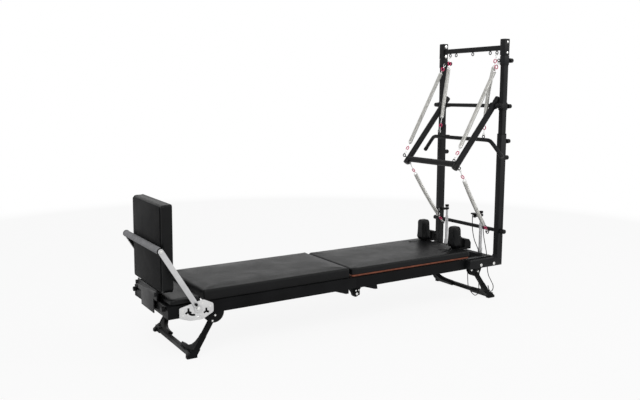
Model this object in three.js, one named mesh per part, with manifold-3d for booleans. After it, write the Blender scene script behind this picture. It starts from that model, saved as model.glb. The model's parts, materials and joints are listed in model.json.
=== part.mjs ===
// Folding pilates bed with a sprung half tower at its head end.
// Millimetres, +Z up, +X towards the tower, -Y is the near side of the photograph.
import * as THREE from 'three';
import { mergeVertices } from 'three/addons/utils/BufferGeometryUtils.js';
import Module from 'manifold-3d';

const wasm = await Module();
wasm.setup();

// Bed frame
const padWidth = 590;
const padInset = 10;
const bedWidth = padWidth + padInset * 2;
const sideOut = bedWidth / 2;
const railBottom = 256;
const railHeight = 73;
const railDepth = 40;
const railWall = 4;
const footBeam = 60;
const platformStart = 20;
const platformEnd = 213;
const padGap = 8;
const matStart = platformEnd + padGap;
const matLength = 1043;
const matEnd = matStart + matLength;
const carriageGap = 7;
const carriageStart = matEnd + carriageGap;
const carriageLength = 1069;
const carriageEnd = carriageStart + carriageLength;
const foldAfter = 30;
const foldX = carriageStart + foldAfter;
const headRoom = 198;
const railEndX = carriageEnd + headRoom;
const headBeam = 48;
const tieWidth = 40;
const tieInset = 95;
const tieThick = 6;

// Clearances
const seat = 0.3;
const swing = 1.2;
const overrun = 1;

// Fold hinge under the rails
const foldDrop = 38;
const foldEar = 24;
const foldPin = 6;
const foldReach = 50;
const foldPlate = 7;
const foldMiddle = 12;
const wedgeLength = 110;
const wedgeDepth = 30;
const wedgeGap = 10;

// Leg frames
const legPivotX = 288;
const legDrop = 17;
const legLockAlong = 18;
const legLockDown = 31;
const legFootX = 140;
const headLegPivotBack = 172;
const headLegPivotX = railEndX - headLegPivotBack;
const headLegFootOut = 10;
const headLegFootX = railEndX + headLegFootOut;
const legWidth = 31;
const legThick = 20;
const legPin = 5;
const legDisc = 62;
const legDiscX = 4;
const plateThick = 6;
const legTubeBottom = 12;
const legTubeHeight = 32;
const legTubeDepth = 14;
const shoeLength = 62;
const shoeHeight = 46;
const shoeThick = 26;
const shoeReach = 46;
const boltHead = 8;
const boltRise = 4;

// Footbar and its gear plates
const gearThick = 6;
const gearGap = 6;
const gearCorner = 14;
const gearOutline = [[64, 256], [127, 234], [274, 268], [274, 319], [212, 350], [64, 316]];
const gearStuds = [[84, 300], [84, 270], [252, 305], [205, 330]];
const gearNotches = [[121, 279], [232, 284]];
const studRadius = 5;
const studRise = 2;
const armGap = 2;
const footbarPivotX = 176;
const footbarPivotZ = 304;
const footbarX = -43;
const footbarZ = 664;
const footbarArm = 32;
const footbarArmThick = 8;
const footbarTube = 12;
const gripRadius = 20;
const footbarSwing = 75;
const pivotBolt = 11;
const pivotShank = 6;
const pinRadius = 3;
const pinHead = 9;
const pinHeadLength = 16;
const notchLobe = 5;
const notchReach = 15;
const slotRadius = 30;
const slotWidth = 8;
const slotSpare = 12;

// Jump board and its bracket
const boardShy = 80;
const boardWidth = padWidth - boardShy;
const boardHeight = 517;
const boardThick = 57;
const boardBottom = 392;
const boardX = -4;
const bracketOut = 14;
const bracketWide = 350;
const bracketNarrow = 226;
const bracketStep = 366;
const bracketLow = 251;
const bracketPlate = 6;
const bracketFin = 14;
const knobRadius = 15;
const knobIn = 46;
const knobY = sideOut - knobIn;
const knobLength = 24;
const knobZ = 311;
const knobShank = 5;

// Pads on the bed
const matTop = 386;
const platformHeight = 34;
const padCorner = 22;
const platformCorner = 55;
const padCrown = 3;
const padDraw = 3;
const padEase = 9;
const crownShares = [0.7, 0.35];

// Carriage
const carriageCorner = 40;
const boardLift = 2;
const carriageBoard = 18;
const carriagePad = 38;
const boardInset = 4;
const wheelRadius = 24;
const wheelWidth = 17;
const wheelBore = 5.4;
const axleRadius = 5;
const wheelInset = 150;
const truckPlate = 6;
const truckDrop = 40;
const truckBar = 30;
const socketBack = 179;
const socketX = carriageEnd - socketBack;
const socketIn = 133;
const socketY = sideOut - socketIn;
const socketLength = 66;
const socketWidth = 26;
const socketRim = 3;
const socketHole = 8;
const socketTurn = (-37 * Math.PI) / 180;
const pegBack = 40;
const pegX = carriageEnd - pegBack;
const pegRadius = 7;

// Shoulder rests
const shoulderBack = 44;
const shoulderX = carriageEnd - shoulderBack;
const shoulderIn = 119;
const shoulderY = sideOut - shoulderIn;
const shoulderWidth = 104;
const shoulderThick = 62;
const shoulderHeight = 150;
const shoulderBaseLength = 58;
const shoulderBaseHeight = 92;
const shoulderBaseWidth = 96;
const shoulderFoot = 14;
const shoulderCorner = 30;
const shoulderTopShare = 0.76;
const leverReach = 16;
const leverRadius = 5;

// Reformer springs parked under the carriage
const bedSpringRadius = 11;
const bedSpringLength = 520;
const bedSpringPitch = 84;
const bedSpringRise = 12;
const bedSpringGap = 10;
const bedSpringBar = 24;
const springBarX = 330;
const springBarWidth = 34;
const springBarHeight = 34;
const springBarNotch = 12;

// Tower uprights and bars
const towerTop = 1918;
const towerOut = 31;
const towerX = railEndX + towerOut;
const lowerTube = 50;
const towerDepth = 44.4;
const upperTube = 40;
const tubeEase = 0.8;
const tubeWall = 3;
const lowerShare = 0.647;
const lowerTop = towerTop * lowerShare;
const upperShare = 0.5422;
const upperStart = towerTop * upperShare;
const armLength = 263;
const armStartX = railEndX - armLength;
const armHeight = 60;
const armDrop = 262;
const armBoltPlaces = [[156, 284], [27, 282]];
const armBolts = armBoltPlaces.map(([back, z]) => [railEndX - back, z]);
const cornerWeb = 30;
const topBoltDowns = [94, 19];
const topBolts = topBoltDowns.map((down) => towerTop - down);
const topBarDown = 61;
const topBarZ = towerTop - topBarDown;
const topBarSize = 30;
const lowBarZ = 520;
const lowBarRadius = 14;
const lowStud = 8;
const outerEyeIn = 55;
const innerEyeIn = 122;
const lowEyeY = sideOut - outerEyeIn;
const lowEyeForward = 18;
const lowEyeDown = 21;
const lowShankShare = 0.7;
const lowKnobOut = 63;
const lowKnobReach = sideOut + lowKnobOut;
const eyeRing = 8.5;
const eyeWire = 2.2;
const eyeShank = 5;
const innerEyeY = sideOut - innerEyeIn;
const eyeYs = [-lowEyeY, -innerEyeY, 0, innerEyeY, lowEyeY];
const capRadius = 9;
const washerRadius = 11;
const washerThick = 3;

// Sleeves, plungers and knobs on the tower
const sleeveWall = 5;
const topSleeveDown = 148;
const topSleeveZ = towerTop - topSleeveDown;
const topSleeveHeight = 66;
const bandShare = 0.7513;
const bandSleeveZ = towerTop * bandShare;
const bandSleeveHeight = 54;
const plungerDepth = 8;
const plungerHead = 11;
const plungerNeck = 6;
const plungerHeadLength = 20;
const teleDown = 55;
const teleZ = lowerTop - teleDown;
const lockUp = 25;
const lockZ = upperStart + lockUp;
const springEyeForward = 20;
const springEyeX = towerX - springEyeForward;
const springEyeIn = 15;
const springEyeY = sideOut - springEyeIn;

// Push-through bar
const pushPivotForward = 41;
const pushPivotX = towerX - pushPivotForward;
const pushPivotUp = 4;
const pushPivotZ = bandSleeveZ + pushPivotUp;
const pushPivotRadius = 11;
const pushPivotOut = 62;
const pushPivotReach = sideOut + pushPivotOut;
const pushArmIn = 30;
const pushArmY = sideOut - pushArmIn;
const pushArmRadius = 17;
const pushArmAbove = 50;
const pushArmBelow = 576;
const pushBarAlong = 537;
const pushBarRadius = 16;
const pushTeeRadius = 21;
const pushTeeLength = 34;
const pushLean = 39.3;
const lugRadius = 18;
const pushEyeIn = 23;
const pushEyeY = sideOut - pushEyeIn;
const upperEyeOff = 48;
const lowerEyeOff = 36;
const lowerEyeUp = 4;

// Roll-down bar hung on two springs
const rollForward = 106;
const rollX = towerX - rollForward;
const rollShare = 0.6257;
const rollZ = towerTop * rollShare;
const rollRadius = 13;
const rollBack = 18;
const rollBendOut = 8;
const rollBend = sideOut + rollBendOut;
const rollEndOut = 120;
const rollEnd = sideOut + rollEndOut;
const rollDrop = 118;
const rollCorner = 46;
const rollSteps = 22;
const rollEyeIn = 67;
const rollEyeY = sideOut - rollEyeIn;

// Springs and their snap links
const coilOuter = 11;
const coilWire = 3.6;
const coilSteps = 8;
const coilSides = 5;
const linkRing = 10;
const linkWire = 2;
const lockRing = 12;
const lockWire = 3;
const lockShare = 0.34;
const neckRadius = 2.4;
const coneLength = 18;
const capOuter = 11.6;
const capThick = 2;
const longCurls = 10;
const shortCurls = 6;
const lowCurls = 7;
const shortLink = 86;
const longLink = 103;
const rollLinkTop = 100;
const rollLinkBottom = 126;

// Rope risers, pulleys and ropes
const riserBack = 15;
const riserX = railEndX - riserBack;
const riserIn = 114;
const riserY = sideOut - riserIn;
const riserRadius = 9;
const riserTop = 650;
const riserCap = 13;
const riserCapHeight = 12;
const pulleyBack = 86;
const pulleyX = railEndX - pulleyBack;
const pulleyZ = 622;
const pulleyRadius = 20;
const pulleyWidth = 12;
const pulleyHub = 4;
const cheekThick = 4;
const cheekSize = 17;
const socketHeight = 40;
const socketRadius = 15;
const ropeRadius = 3;
const ropeSides = 8;
const ropeStep = 3;
// Each rope's side and route, whose points are X from the rails' head end, the distance in from that side, and Z
const ropeRoutes = [
  ['rope_near', -1, [
    [-103.5, 114, 618], [-103.5, 113, 560], [-102, 109, 512], [-90, 99, 440], [-68, 87, 380],
    [-56, 83, 345], [-54, 81, 318], [-54, 77, 262], [-56, 71, 220], [-66, 63, 160], [-72, 57, 110],
    [-76, 51, 68], [-90, 47, 36], [-114, 45, 27], [-142, 44, 42], [-170, 43, 72], [-194, 41, 112],
    [-204, 39, 170], [-208, 39, 255.4],
  ]],
  ['rope_near_rear', -1, [
    [49, 124, 480], [49.9, 122, 516], [44.7, 120, 533.7], [31, 118, 539.8], [17.3, 116, 533.7],
    [12.1, 114, 516], [14, 107, 450], [22, 95, 380], [28, 85, 318], [24, 73, 256], [18, 61, 205],
    [24, 53, 160], [48, 49, 116], [70, 48, 76], [68, 48, 44], [50, 49, 32], [32, 50, 48], [20, 51, 80],
  ]],
  ['rope_far', 1, [
    [-103.5, 114, 618], [-103.5, 113, 560], [-101, 109, 512], [-89, 103, 440], [-68, 97, 380],
    [-56, 93, 345], [-54, 91, 318], [-54, 87, 262], [-52, 83, 220], [-40, 79, 192], [-28, 77, 168],
    [-34, 75, 146], [-52, 75, 142], [-64, 77, 158],
  ]],
];

const round = 12;
const small = 8;
const hex = 6;
const nearAndFar = [['near', -1], ['far', 1]];

// Looks, one material for each finish
const finishes = {
  frame: { color: 0x1d1d1f, roughness: 0.5, metalness: 0.4 },
  silver: { color: 0xcfcfcc, roughness: 0.35, metalness: 0.9 },
  pad: { color: 0x242527, roughness: 0.55, metalness: 0 },
  foam: { color: 0x4a4b4e, roughness: 0.9, metalness: 0 },
  plywood: { color: 0x8d5238, roughness: 0.6, metalness: 0 },
  plastic: { color: 0x161617, roughness: 0.5, metalness: 0 },
  rope: { color: 0x121212, roughness: 0.8, metalness: 0 },
  spring: { color: 0xc6c2b8, roughness: 0.3, metalness: 1 },
};

const unit = new THREE.Group();

// Solids and booleans
function toSolid(geometry) {
  const bare = geometry.clone();
  bare.deleteAttribute('normal');
  bare.deleteAttribute('uv');
  const merged = mergeVertices(bare, 1e-4);
  const mesh = new wasm.Mesh({
    numProp: 3,
    vertProperties: new Float32Array(merged.attributes.position.array),
    triVerts: new Uint32Array(merged.index.array),
  });
  return new wasm.Manifold(mesh);
}

function toGeometry(body) {
  const mesh = body.getMesh();
  const geometry = new THREE.BufferGeometry();
  geometry.setAttribute('position', new THREE.BufferAttribute(new Float32Array(mesh.vertProperties), 3));
  geometry.setIndex(new THREE.BufferAttribute(new Uint32Array(mesh.triVerts), 1));
  geometry.computeVertexNormals();
  return geometry;
}

function join(...geometries) {
  return toGeometry(geometries.map(toSolid).reduce((sum, body) => sum.add(body)));
}

function cut(geometry, ...tools) {
  return toGeometry(tools.map(toSolid).reduce((rest, tool) => rest.subtract(tool), toSolid(geometry)));
}

function place(name, geometry, finish) {
  const mesh = new THREE.Mesh(geometry, new THREE.MeshStandardMaterial(finishes[finish]));
  mesh.name = name;
  unit.add(mesh);
  return mesh;
}

// Basic forms
function box(x0, x1, y0, y1, z0, z1) {
  const block = new THREE.BoxGeometry(Math.abs(x1 - x0), Math.abs(y1 - y0), Math.abs(z1 - z0));
  return block.translate((x0 + x1) / 2, (y0 + y1) / 2, (z0 + z1) / 2);
}

function rod(from, to, radius, sides = round, endRadius = radius) {
  const a = new THREE.Vector3(...from);
  const b = new THREE.Vector3(...to);
  const along = b.clone().sub(a);
  const form = new THREE.CylinderGeometry(endRadius, radius, along.length(), sides);
  form.applyQuaternion(new THREE.Quaternion().setFromUnitVectors(new THREE.Vector3(0, 1, 0), along.normalize()));
  return form.translate((a.x + b.x) / 2, (a.y + b.y) / 2, (a.z + b.z) / 2);
}

// A wire ring with a corner towards the side that carries the load
function ring(centre, normal, toward, radius, wire) {
  const form = new THREE.TorusGeometry(radius, wire, 4, small);
  const axis = new THREE.Vector3(...normal).normalize();
  const load = new THREE.Vector3(...toward).projectOnPlane(axis).normalize();
  form.applyMatrix4(new THREE.Matrix4().makeBasis(load, axis.clone().cross(load), axis));
  return form.translate(...centre);
}

// A solid of revolution whose profile of [radius, distance] runs from one point towards another
function turned(from, to, profile, sides = small) {
  const a = new THREE.Vector3(...from);
  const along = new THREE.Vector3(...to).sub(a).normalize();
  const closed = [[0, profile[0][1]], ...profile, [0, profile[profile.length - 1][1]]];
  const form = new THREE.LatheGeometry(closed.map(([r, t]) => new THREE.Vector2(r, t)), sides);
  form.applyQuaternion(new THREE.Quaternion().setFromUnitVectors(new THREE.Vector3(0, 1, 0), along));
  return form.translate(a.x, a.y, a.z);
}

// An outline drawn in X and Z, given thickness from y0 to y1
function sheetXZ(shape, y0, y1, curveSegments = 6) {
  const form = new THREE.ExtrudeGeometry(shape, { depth: Math.abs(y1 - y0), bevelEnabled: false, curveSegments });
  return form.rotateX(Math.PI / 2).translate(0, Math.max(y0, y1), 0);
}

// An outline drawn in Y and Z, given length from x0 to x1
function beamX(shape, x0, x1) {
  const form = new THREE.ExtrudeGeometry(shape, { depth: x1 - x0, bevelEnabled: false });
  const turn = new THREE.Matrix4().makeBasis(
    new THREE.Vector3(0, 1, 0), new THREE.Vector3(0, 0, 1), new THREE.Vector3(1, 0, 0));
  return form.applyMatrix4(turn).translate(x0, 0, 0);
}

function polygon(points) {
  return new THREE.Shape(points.map(([u, v]) => new THREE.Vector2(u, v)));
}

function tubeAlong(points, radius, sides, steps) {
  const curve = new THREE.CatmullRomCurve3(points.map((p) => new THREE.Vector3(...p)), false, 'centripetal');
  const section = new THREE.Shape();
  for (let i = 0; i < sides; i += 1) {
    const angle = (2 * Math.PI * i) / sides;
    if (i === 0) section.moveTo(radius * Math.cos(angle), radius * Math.sin(angle));
    else section.lineTo(radius * Math.cos(angle), radius * Math.sin(angle));
  }
  return new THREE.ExtrudeGeometry(section, { steps, bevelEnabled: false, extrudePath: curve });
}

const railTop = railBottom + railHeight;
const railIn = sideOut - railDepth;

// Rails are channels, open inwards, so the carriage wheels run inside them
function rail(sign, x0, x1) {
  const out = sign * sideOut;
  const back = sign * (sideOut - railWall);
  const lip = sign * railIn;
  const points = [
    [out, railBottom], [lip, railBottom], [lip, railBottom + railWall], [back, railBottom + railWall],
    [back, railTop - railWall], [lip, railTop - railWall], [lip, railTop], [out, railTop],
  ];
  return beamX(polygon(sign > 0 ? points.reverse() : points), x0, x1);
}

const foldZ = railBottom - foldDrop;
const foldMid = sideOut - railDepth / 2;

// Hinge ear: a rounded tab that hangs from the rail beside the fold pin
function foldTab(direction, y0, y1) {
  const shape = polygon([
    [foldX + direction * foldReach, railBottom + overrun],
    [foldX + direction * foldPin, railBottom + overrun],
    [foldX + direction * foldPin, foldZ],
    [foldX + direction * (foldEar - overrun), foldZ],
  ]);
  return join(sheetXZ(shape, y0, y1), rod([foldX, y0, foldZ], [foldX, y1, foldZ], foldEar));
}

function foldWedge(direction, sign) {
  const near = foldX + direction * (foldReach + wedgeGap);
  const far = near + direction * wedgeLength;
  const low = railBottom - wedgeDepth;
  const shape = polygon([[near, railBottom + overrun], [near, low], [near + direction * wedgeGap * 2, low],
    [far, railBottom], [far, railBottom + overrun]]);
  return sheetXZ(shape, sign * (railIn + railWall), sign * (sideOut - railWall));
}

const legIn = sideOut - plateThick - seat - legThick;

// Plate pair that holds a leg: the outer one is a rounded disc below the rail
function legHanger(sign, pivotX, direction) {
  const centreX = pivotX - direction * legDiscX;
  const pivotZ = railBottom - legDrop;
  const half = new THREE.Shape();
  half.moveTo(centreX + legDisc, railBottom + overrun);
  half.lineTo(centreX + legDisc, railBottom);
  half.absarc(centreX, railBottom, legDisc, 0, Math.PI, true);
  half.lineTo(centreX - legDisc, railBottom + overrun);
  const inner = legIn - seat;
  const outer = sideOut - overrun / 2;
  const lockX = pivotX - direction * legLockAlong;
  const lockZ = pivotZ - legLockDown;
  return [
    sheetXZ(half, sign * (sideOut - plateThick), sign * outer, 7),
    sheetXZ(half, sign * (inner - plateThick), sign * inner, 5),
    rod([pivotX, sign * (inner - plateThick / 2), pivotZ], [pivotX, sign * outer, pivotZ], legPin, small),
    rod([pivotX, sign * (outer - overrun), pivotZ], [pivotX, sign * (outer + boltRise), pivotZ], boltHead, hex),
    rod([lockX, sign * (outer - overrun), lockZ], [lockX, sign * (outer + boltRise), lockZ], boltHead, hex),
  ];
}

// How far a leg runs along X for each millimetre that it drops
function legLean(pivotX, footX) {
  return (footX - pivotX) / (railBottom - legDrop);
}

// U-shaped leg frame with a moulded shoe at each corner
function legFrame(pivotX, footX) {
  const pivotZ = railBottom - legDrop;
  const lean = legLean(pivotX, footX);
  const half = (legWidth / 2) * Math.hypot(1, lean);
  const acrossX = legWidth / 2 / Math.hypot(1, lean);
  const acrossZ = acrossX * lean;
  const outFace = legIn + legThick;
  const lowX = footX - lean * legTubeBottom;
  const shoeTopX = footX - lean * shoeHeight;
  const parts = [];
  const holes = [];
  for (const [, sign] of nearAndFar) {
    const leg = polygon([[pivotX - acrossX, pivotZ - acrossZ], [pivotX + acrossX, pivotZ + acrossZ],
      [lowX + half, legTubeBottom], [lowX - half, legTubeBottom]]);
    const shoe = polygon([
      [footX - shoeLength / 2, 0], [footX + shoeLength / 2, 0], [footX + shoeLength / 2, shoeHeight / 3],
      [shoeTopX + half + boltRise, shoeHeight], [shoeTopX - half - boltRise, shoeHeight],
      [footX - shoeLength / 2, shoeHeight / 3],
    ]);
    parts.push(sheetXZ(leg, sign * legIn, sign * outFace));
    parts.push(rod([pivotX, sign * legIn, pivotZ], [pivotX, sign * outFace, pivotZ], legWidth / 2));
    parts.push(sheetXZ(shoe, sign * (sideOut - seat), sign * (sideOut - shoeThick - boltRise)));
    parts.push(box(footX - legTubeDepth, footX + legTubeDepth, sign * (sideOut - overrun),
      sign * (sideOut - shoeThick - shoeReach), 0, legTubeHeight + legTubeBottom / 2));
    holes.push(rod([pivotX, sign * (legIn - overrun), pivotZ], [pivotX, sign * (outFace + overrun), pivotZ],
      legPin + swing / 2, small));
  }
  parts.push(box(footX - legTubeDepth + seat, footX + legTubeDepth - seat, -legIn, legIn,
    legTubeBottom / 2, legTubeHeight));
  return cut(join(...parts), ...holes);
}

// Foot half of the bed frame
const footParts = [box(overrun, footBeam, -sideOut + railWall / 2, sideOut - railWall / 2,
  railBottom + overrun, railTop - overrun)];
const headParts = [];
const foldHoles = [];
for (const [, sign] of nearAndFar) {
  footParts.push(rail(sign, 0, foldX - seat));
  footParts.push(foldTab(-1, sign * (foldMid - foldMiddle / 2 - seat), sign * (foldMid - foldMiddle / 2 - foldPlate)));
  footParts.push(foldTab(-1, sign * (foldMid + foldMiddle / 2 + seat), sign * (foldMid + foldMiddle / 2 + foldPlate)));
  footParts.push(rod([foldX, sign * (foldMid - foldMiddle / 2 - foldPlate - boltRise), foldZ],
    [foldX, sign * (foldMid + foldMiddle / 2 + foldPlate + boltRise), foldZ], foldPin, small));
  footParts.push(foldWedge(-1, sign));
  footParts.push(...legHanger(sign, legPivotX, 1));
  headParts.push(rail(sign, foldX + seat, railEndX));
  headParts.push(foldTab(1, sign * (foldMid - foldMiddle / 2), sign * (foldMid + foldMiddle / 2)));
  headParts.push(foldWedge(1, sign));
  headParts.push(...legHanger(sign, headLegPivotX, -1));
  foldHoles.push(rod([foldX, sign * (foldMid - foldMiddle), foldZ], [foldX, sign * (foldMid + foldMiddle), foldZ],
    foldPin + swing / 2, small));
}
footParts.push(box(foldX - tieInset - tieWidth, foldX - tieInset, -railIn - overrun, railIn + overrun,
  railBottom + overrun, railBottom + overrun + tieThick));
headParts.push(box(foldX + tieInset, foldX + tieInset + tieWidth, -railIn - overrun, railIn + overrun,
  railBottom + overrun, railBottom + overrun + tieThick));
headParts.push(box(railEndX - headBeam, railEndX - overrun, -sideOut + railWall / 2, sideOut - railWall / 2,
  railBottom + overrun, railTop - overrun));
for (const [, sign] of nearAndFar) {
  headParts.push(rod([riserX, sign * riserY, railTop - overrun], [riserX, sign * riserY, railTop + socketHeight],
    socketRadius, small));
}
// Bores for the footbar's pivots, the end knobs and the risers
const footBores = [];
for (const [, sign] of nearAndFar) {
  footBores.push(rod([footbarPivotX, sign * (sideOut - railWall - overrun), footbarPivotZ],
    [footbarPivotX, sign * (sideOut + overrun), footbarPivotZ], pivotShank + swing / 2, small));
  footBores.push(rod([-overrun, sign * knobY, knobZ], [knobLength + swing, sign * knobY, knobZ],
    knobShank + swing / 2, small));
}
footParts.push(box(springBarX, springBarX + springBarWidth, -sideOut + railWall, sideOut - railWall,
  railBottom + railWall / 2, railBottom + springBarHeight));
place('foot_frame', cut(join(...footParts), ...footBores), 'frame');

const riserBores = nearAndFar.map(([, sign]) => rod([riserX, sign * riserY, railTop + seat],
  [riserX, sign * riserY, railTop + socketHeight + overrun], riserRadius + seat));
place('head_frame', cut(join(...headParts), ...foldHoles, ...riserBores), 'frame');
place('foot_leg_frame', legFrame(legPivotX, legFootX), 'frame');
place('head_leg_frame', legFrame(headLegPivotX, headLegFootX), 'frame');

// Gear plates: notched plates outside the rails, on which the footbar turns
const gearIn = sideOut + gearGap;
const gearOut = gearIn + gearThick;
const armIn = gearOut + armGap;
const armOut = armIn + footbarArmThick;
for (const [side, sign] of nearAndFar) {
  const outline = new THREE.Shape();
  gearOutline.forEach(([x, z], i) => {
    const [px, pz] = gearOutline[(i + gearOutline.length - 1) % gearOutline.length];
    const [nx, nz] = gearOutline[(i + 1) % gearOutline.length];
    const before = new THREE.Vector2(px - x, pz - z).setLength(gearCorner).add(new THREE.Vector2(x, z));
    const after = new THREE.Vector2(nx - x, nz - z).setLength(gearCorner).add(new THREE.Vector2(x, z));
    if (i === 0) outline.moveTo(before.x, before.y);
    else outline.lineTo(before.x, before.y);
    outline.quadraticCurveTo(x, z, after.x, after.y);
  });
  outline.closePath();
  const parts = [sheetXZ(outline, sign * gearIn, sign * gearOut, 3)];
  const holes = [rod([footbarPivotX, sign * (gearIn - overrun), footbarPivotZ],
    [footbarPivotX, sign * (gearOut + overrun), footbarPivotZ], pivotShank + swing / 2, small)];
  for (const [x, z] of gearStuds) {
    parts.push(rod([x, sign * (sideOut + seat), z], [x, sign * (gearIn + overrun), z], boltHead, hex));
    parts.push(rod([x, sign * (gearOut - overrun), z], [x, sign * (gearOut + studRise), z], studRadius, hex));
  }
  for (const [x, z] of gearNotches) {
    for (let i = 0; i < 3; i += 1) {
      const angle = Math.PI / 2 + (2 * Math.PI * i) / 3;
      const tip = [x + notchReach * Math.cos(angle), z + notchReach * Math.sin(angle)];
      const across = [notchLobe * Math.sin(angle), -notchLobe * Math.cos(angle)];
      holes.push(sheetXZ(polygon([
        [x + across[0], z + across[1]], [tip[0] + across[0] / 2, tip[1] + across[1] / 2],
        [tip[0] - across[0] / 2, tip[1] - across[1] / 2], [x - across[0], z - across[1]],
      ]), sign * (gearIn - overrun), sign * (gearOut + overrun)));
    }
  }
  const slot = new THREE.Shape();
  const rest = Math.atan2(footbarZ - footbarPivotZ, footbarX - footbarPivotX);
  const from = rest - THREE.MathUtils.degToRad(slotSpare);
  const to = rest + THREE.MathUtils.degToRad(footbarSwing + slotSpare);
  slot.absarc(footbarPivotX, footbarPivotZ, slotRadius + slotWidth / 2, from, to, false);
  slot.absarc(footbarPivotX, footbarPivotZ, slotRadius - slotWidth / 2, to, from, true);
  holes.push(sheetXZ(slot, sign * (gearIn - overrun), sign * (gearOut + overrun), 5));
  place(`footbar_gear_${side}`, cut(join(...parts), ...holes), 'silver');
}

// Footbar: two flat arms and a cross tube that carries a foam grip
const armRun = new THREE.Vector2(footbarX - footbarPivotX, footbarZ - footbarPivotZ).normalize();
const armSide = new THREE.Vector2(-armRun.y, armRun.x).multiplyScalar(footbarArm / 2);
const footbarParts = [];
const footbarHoles = [];
for (const [side, sign] of nearAndFar) {
  const arm = polygon([
    [footbarPivotX + armSide.x, footbarPivotZ + armSide.y], [footbarX + armSide.x, footbarZ + armSide.y],
    [footbarX - armSide.x, footbarZ - armSide.y], [footbarPivotX - armSide.x, footbarPivotZ - armSide.y],
  ]);
  footbarParts.push(sheetXZ(arm, sign * armIn, sign * armOut));
  footbarParts.push(rod([footbarPivotX, sign * armIn, footbarPivotZ], [footbarPivotX, sign * armOut, footbarPivotZ],
    footbarArm / 2));
  footbarParts.push(rod([footbarX, sign * armIn, footbarZ], [footbarX, sign * armOut, footbarZ], footbarArm / 2));
  footbarParts.push(rod([footbarX, sign * (armOut - overrun), footbarZ],
    [footbarX, sign * (armOut + studRise), footbarZ], boltHead, hex));
  footbarParts.push(rod([footbarPivotX, sign * (armOut - overrun), footbarPivotZ],
    [footbarPivotX, sign * (armOut + boltRise), footbarPivotZ], pivotBolt, hex));
  footbarParts.push(rod([footbarPivotX, sign * (sideOut - railWall), footbarPivotZ],
    [footbarPivotX, sign * (armIn + overrun), footbarPivotZ], pivotShank, small));
  const pinX = footbarPivotX + armRun.x * slotRadius;
  const pinZ = footbarPivotZ + armRun.y * slotRadius;
  if (side === 'near') {
    footbarHoles.push(rod([pinX, sign * (armIn - overrun), pinZ], [pinX, sign * (armOut + overrun), pinZ],
      pinRadius + swing / 2, small));
    place('footbar_pin', join(
      rod([pinX, sign * (gearIn + armGap), pinZ], [pinX, sign * (armOut + armGap), pinZ], pinRadius, small),
      rod([pinX, sign * (armOut + seat), pinZ], [pinX, sign * (armOut + pinHeadLength), pinZ], pinHead, small,
        pinHead - studRise),
    ), 'plastic');
  }
}
footbarParts.push(rod([footbarX, -armIn - overrun, footbarZ], [footbarX, armIn + overrun, footbarZ], footbarTube));
place('footbar_frame', cut(join(...footbarParts), ...footbarHoles), 'silver');

// A tube along Y with a bore
function sleeveY(x, z, half, outer, inner, sides) {
  const profile = [[inner, -half], [outer, -half], [outer, half], [inner, half], [inner, -half]];
  return new THREE.LatheGeometry(profile.map(([r, y]) => new THREE.Vector2(r, y)), sides).translate(x, 0, z);
}

place('footbar_grip', sleeveY(footbarX, footbarZ, armIn - swing, gripRadius, footbarTube + seat, 20), 'foam');

// Cushion with rounded corners in plan, drawn-in sides and a crowned top, thickness along Z
function cushion(x0, x1, y0, y1, z0, z1, corner, corners = 3) {
  const rows = [
    [padDraw + padEase / 2, 0], [padDraw, padEase / 3], [0, (z1 - z0) / 2], [padDraw / 2, z1 - z0 - padEase - padCrown],
    [padEase / 2, z1 - z0 - padEase / 3 - padCrown], [padEase, z1 - z0 - padCrown],
  ];
  const centre = new THREE.Vector2((x0 + x1) / 2, (y0 + y1) / 2);
  const outline = [];
  const turns = [[1, 1, 0], [-1, 1, 1], [-1, -1, 2], [1, -1, 3]];
  for (const [sx, sy, quarter] of turns) {
    for (let i = 0; i <= corners; i += 1) {
      outline.push([sx, sy, (Math.PI / 2) * (quarter + i / corners)]);
    }
  }
  const half = new THREE.Vector2((x1 - x0) / 2, (y1 - y0) / 2);
  const at = (inset) => outline.map(([sx, sy, angle]) => {
    const radius = Math.max(corner - inset, overrun);
    return [centre.x + sx * (half.x - inset - radius) + radius * Math.cos(angle),
      centre.y + sy * (half.y - inset - radius) + radius * Math.sin(angle)];
  });
  const layers = rows.map(([inset, rise]) => at(inset).map(([x, y]) => [x, y, z0 + rise]));
  const edge = at(padEase);
  for (const share of crownShares) {
    layers.push(edge.map(([x, y]) => [centre.x + (x - centre.x) * share, centre.y + (y - centre.y) * share,
      z1 - padCrown * share * share]));
  }
  const points = layers.flat();
  const count = outline.length;
  const bottom = points.push([centre.x, centre.y, z0]) - 1;
  const top = points.push([centre.x, centre.y, z1]) - 1;
  const faces = [];
  for (let i = 0; i < count; i += 1) {
    const next = (i + 1) % count;
    faces.push(bottom, next, i);
    for (let row = 0; row < layers.length - 1; row += 1) {
      const a = row * count + i;
      const b = row * count + next;
      faces.push(a, b, b + count, a, b + count, a + count);
    }
    faces.push((layers.length - 1) * count + i, (layers.length - 1) * count + next, top);
  }
  const form = new THREE.BufferGeometry();
  form.setAttribute('position', new THREE.BufferAttribute(new Float32Array(points.flat()), 3));
  form.setIndex(faces);
  return form;
}

// The same cushion stood on its edge: thickness along X, its crown towards -X
function standing(x0, x1, y0, y1, z0, z1, corner) {
  const flat = cushion(-(z1 - z0) / 2, (z1 - z0) / 2, y0, y1, 0, x1 - x0, corner);
  return flat.rotateY(-Math.PI / 2).translate(x1, 0, (z0 + z1) / 2);
}

// The form drawn in towards its top, where it keeps only the share of its width
function narrowed(form, middle, low, high, topShare) {
  const spots = form.attributes.position;
  for (let i = 0; i < spots.count; i += 1) {
    const rise = (spots.getZ(i) - low) / (high - low);
    spots.setY(i, middle + (spots.getY(i) - middle) * (1 - (1 - topShare) * rise));
  }
  return form;
}

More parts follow.
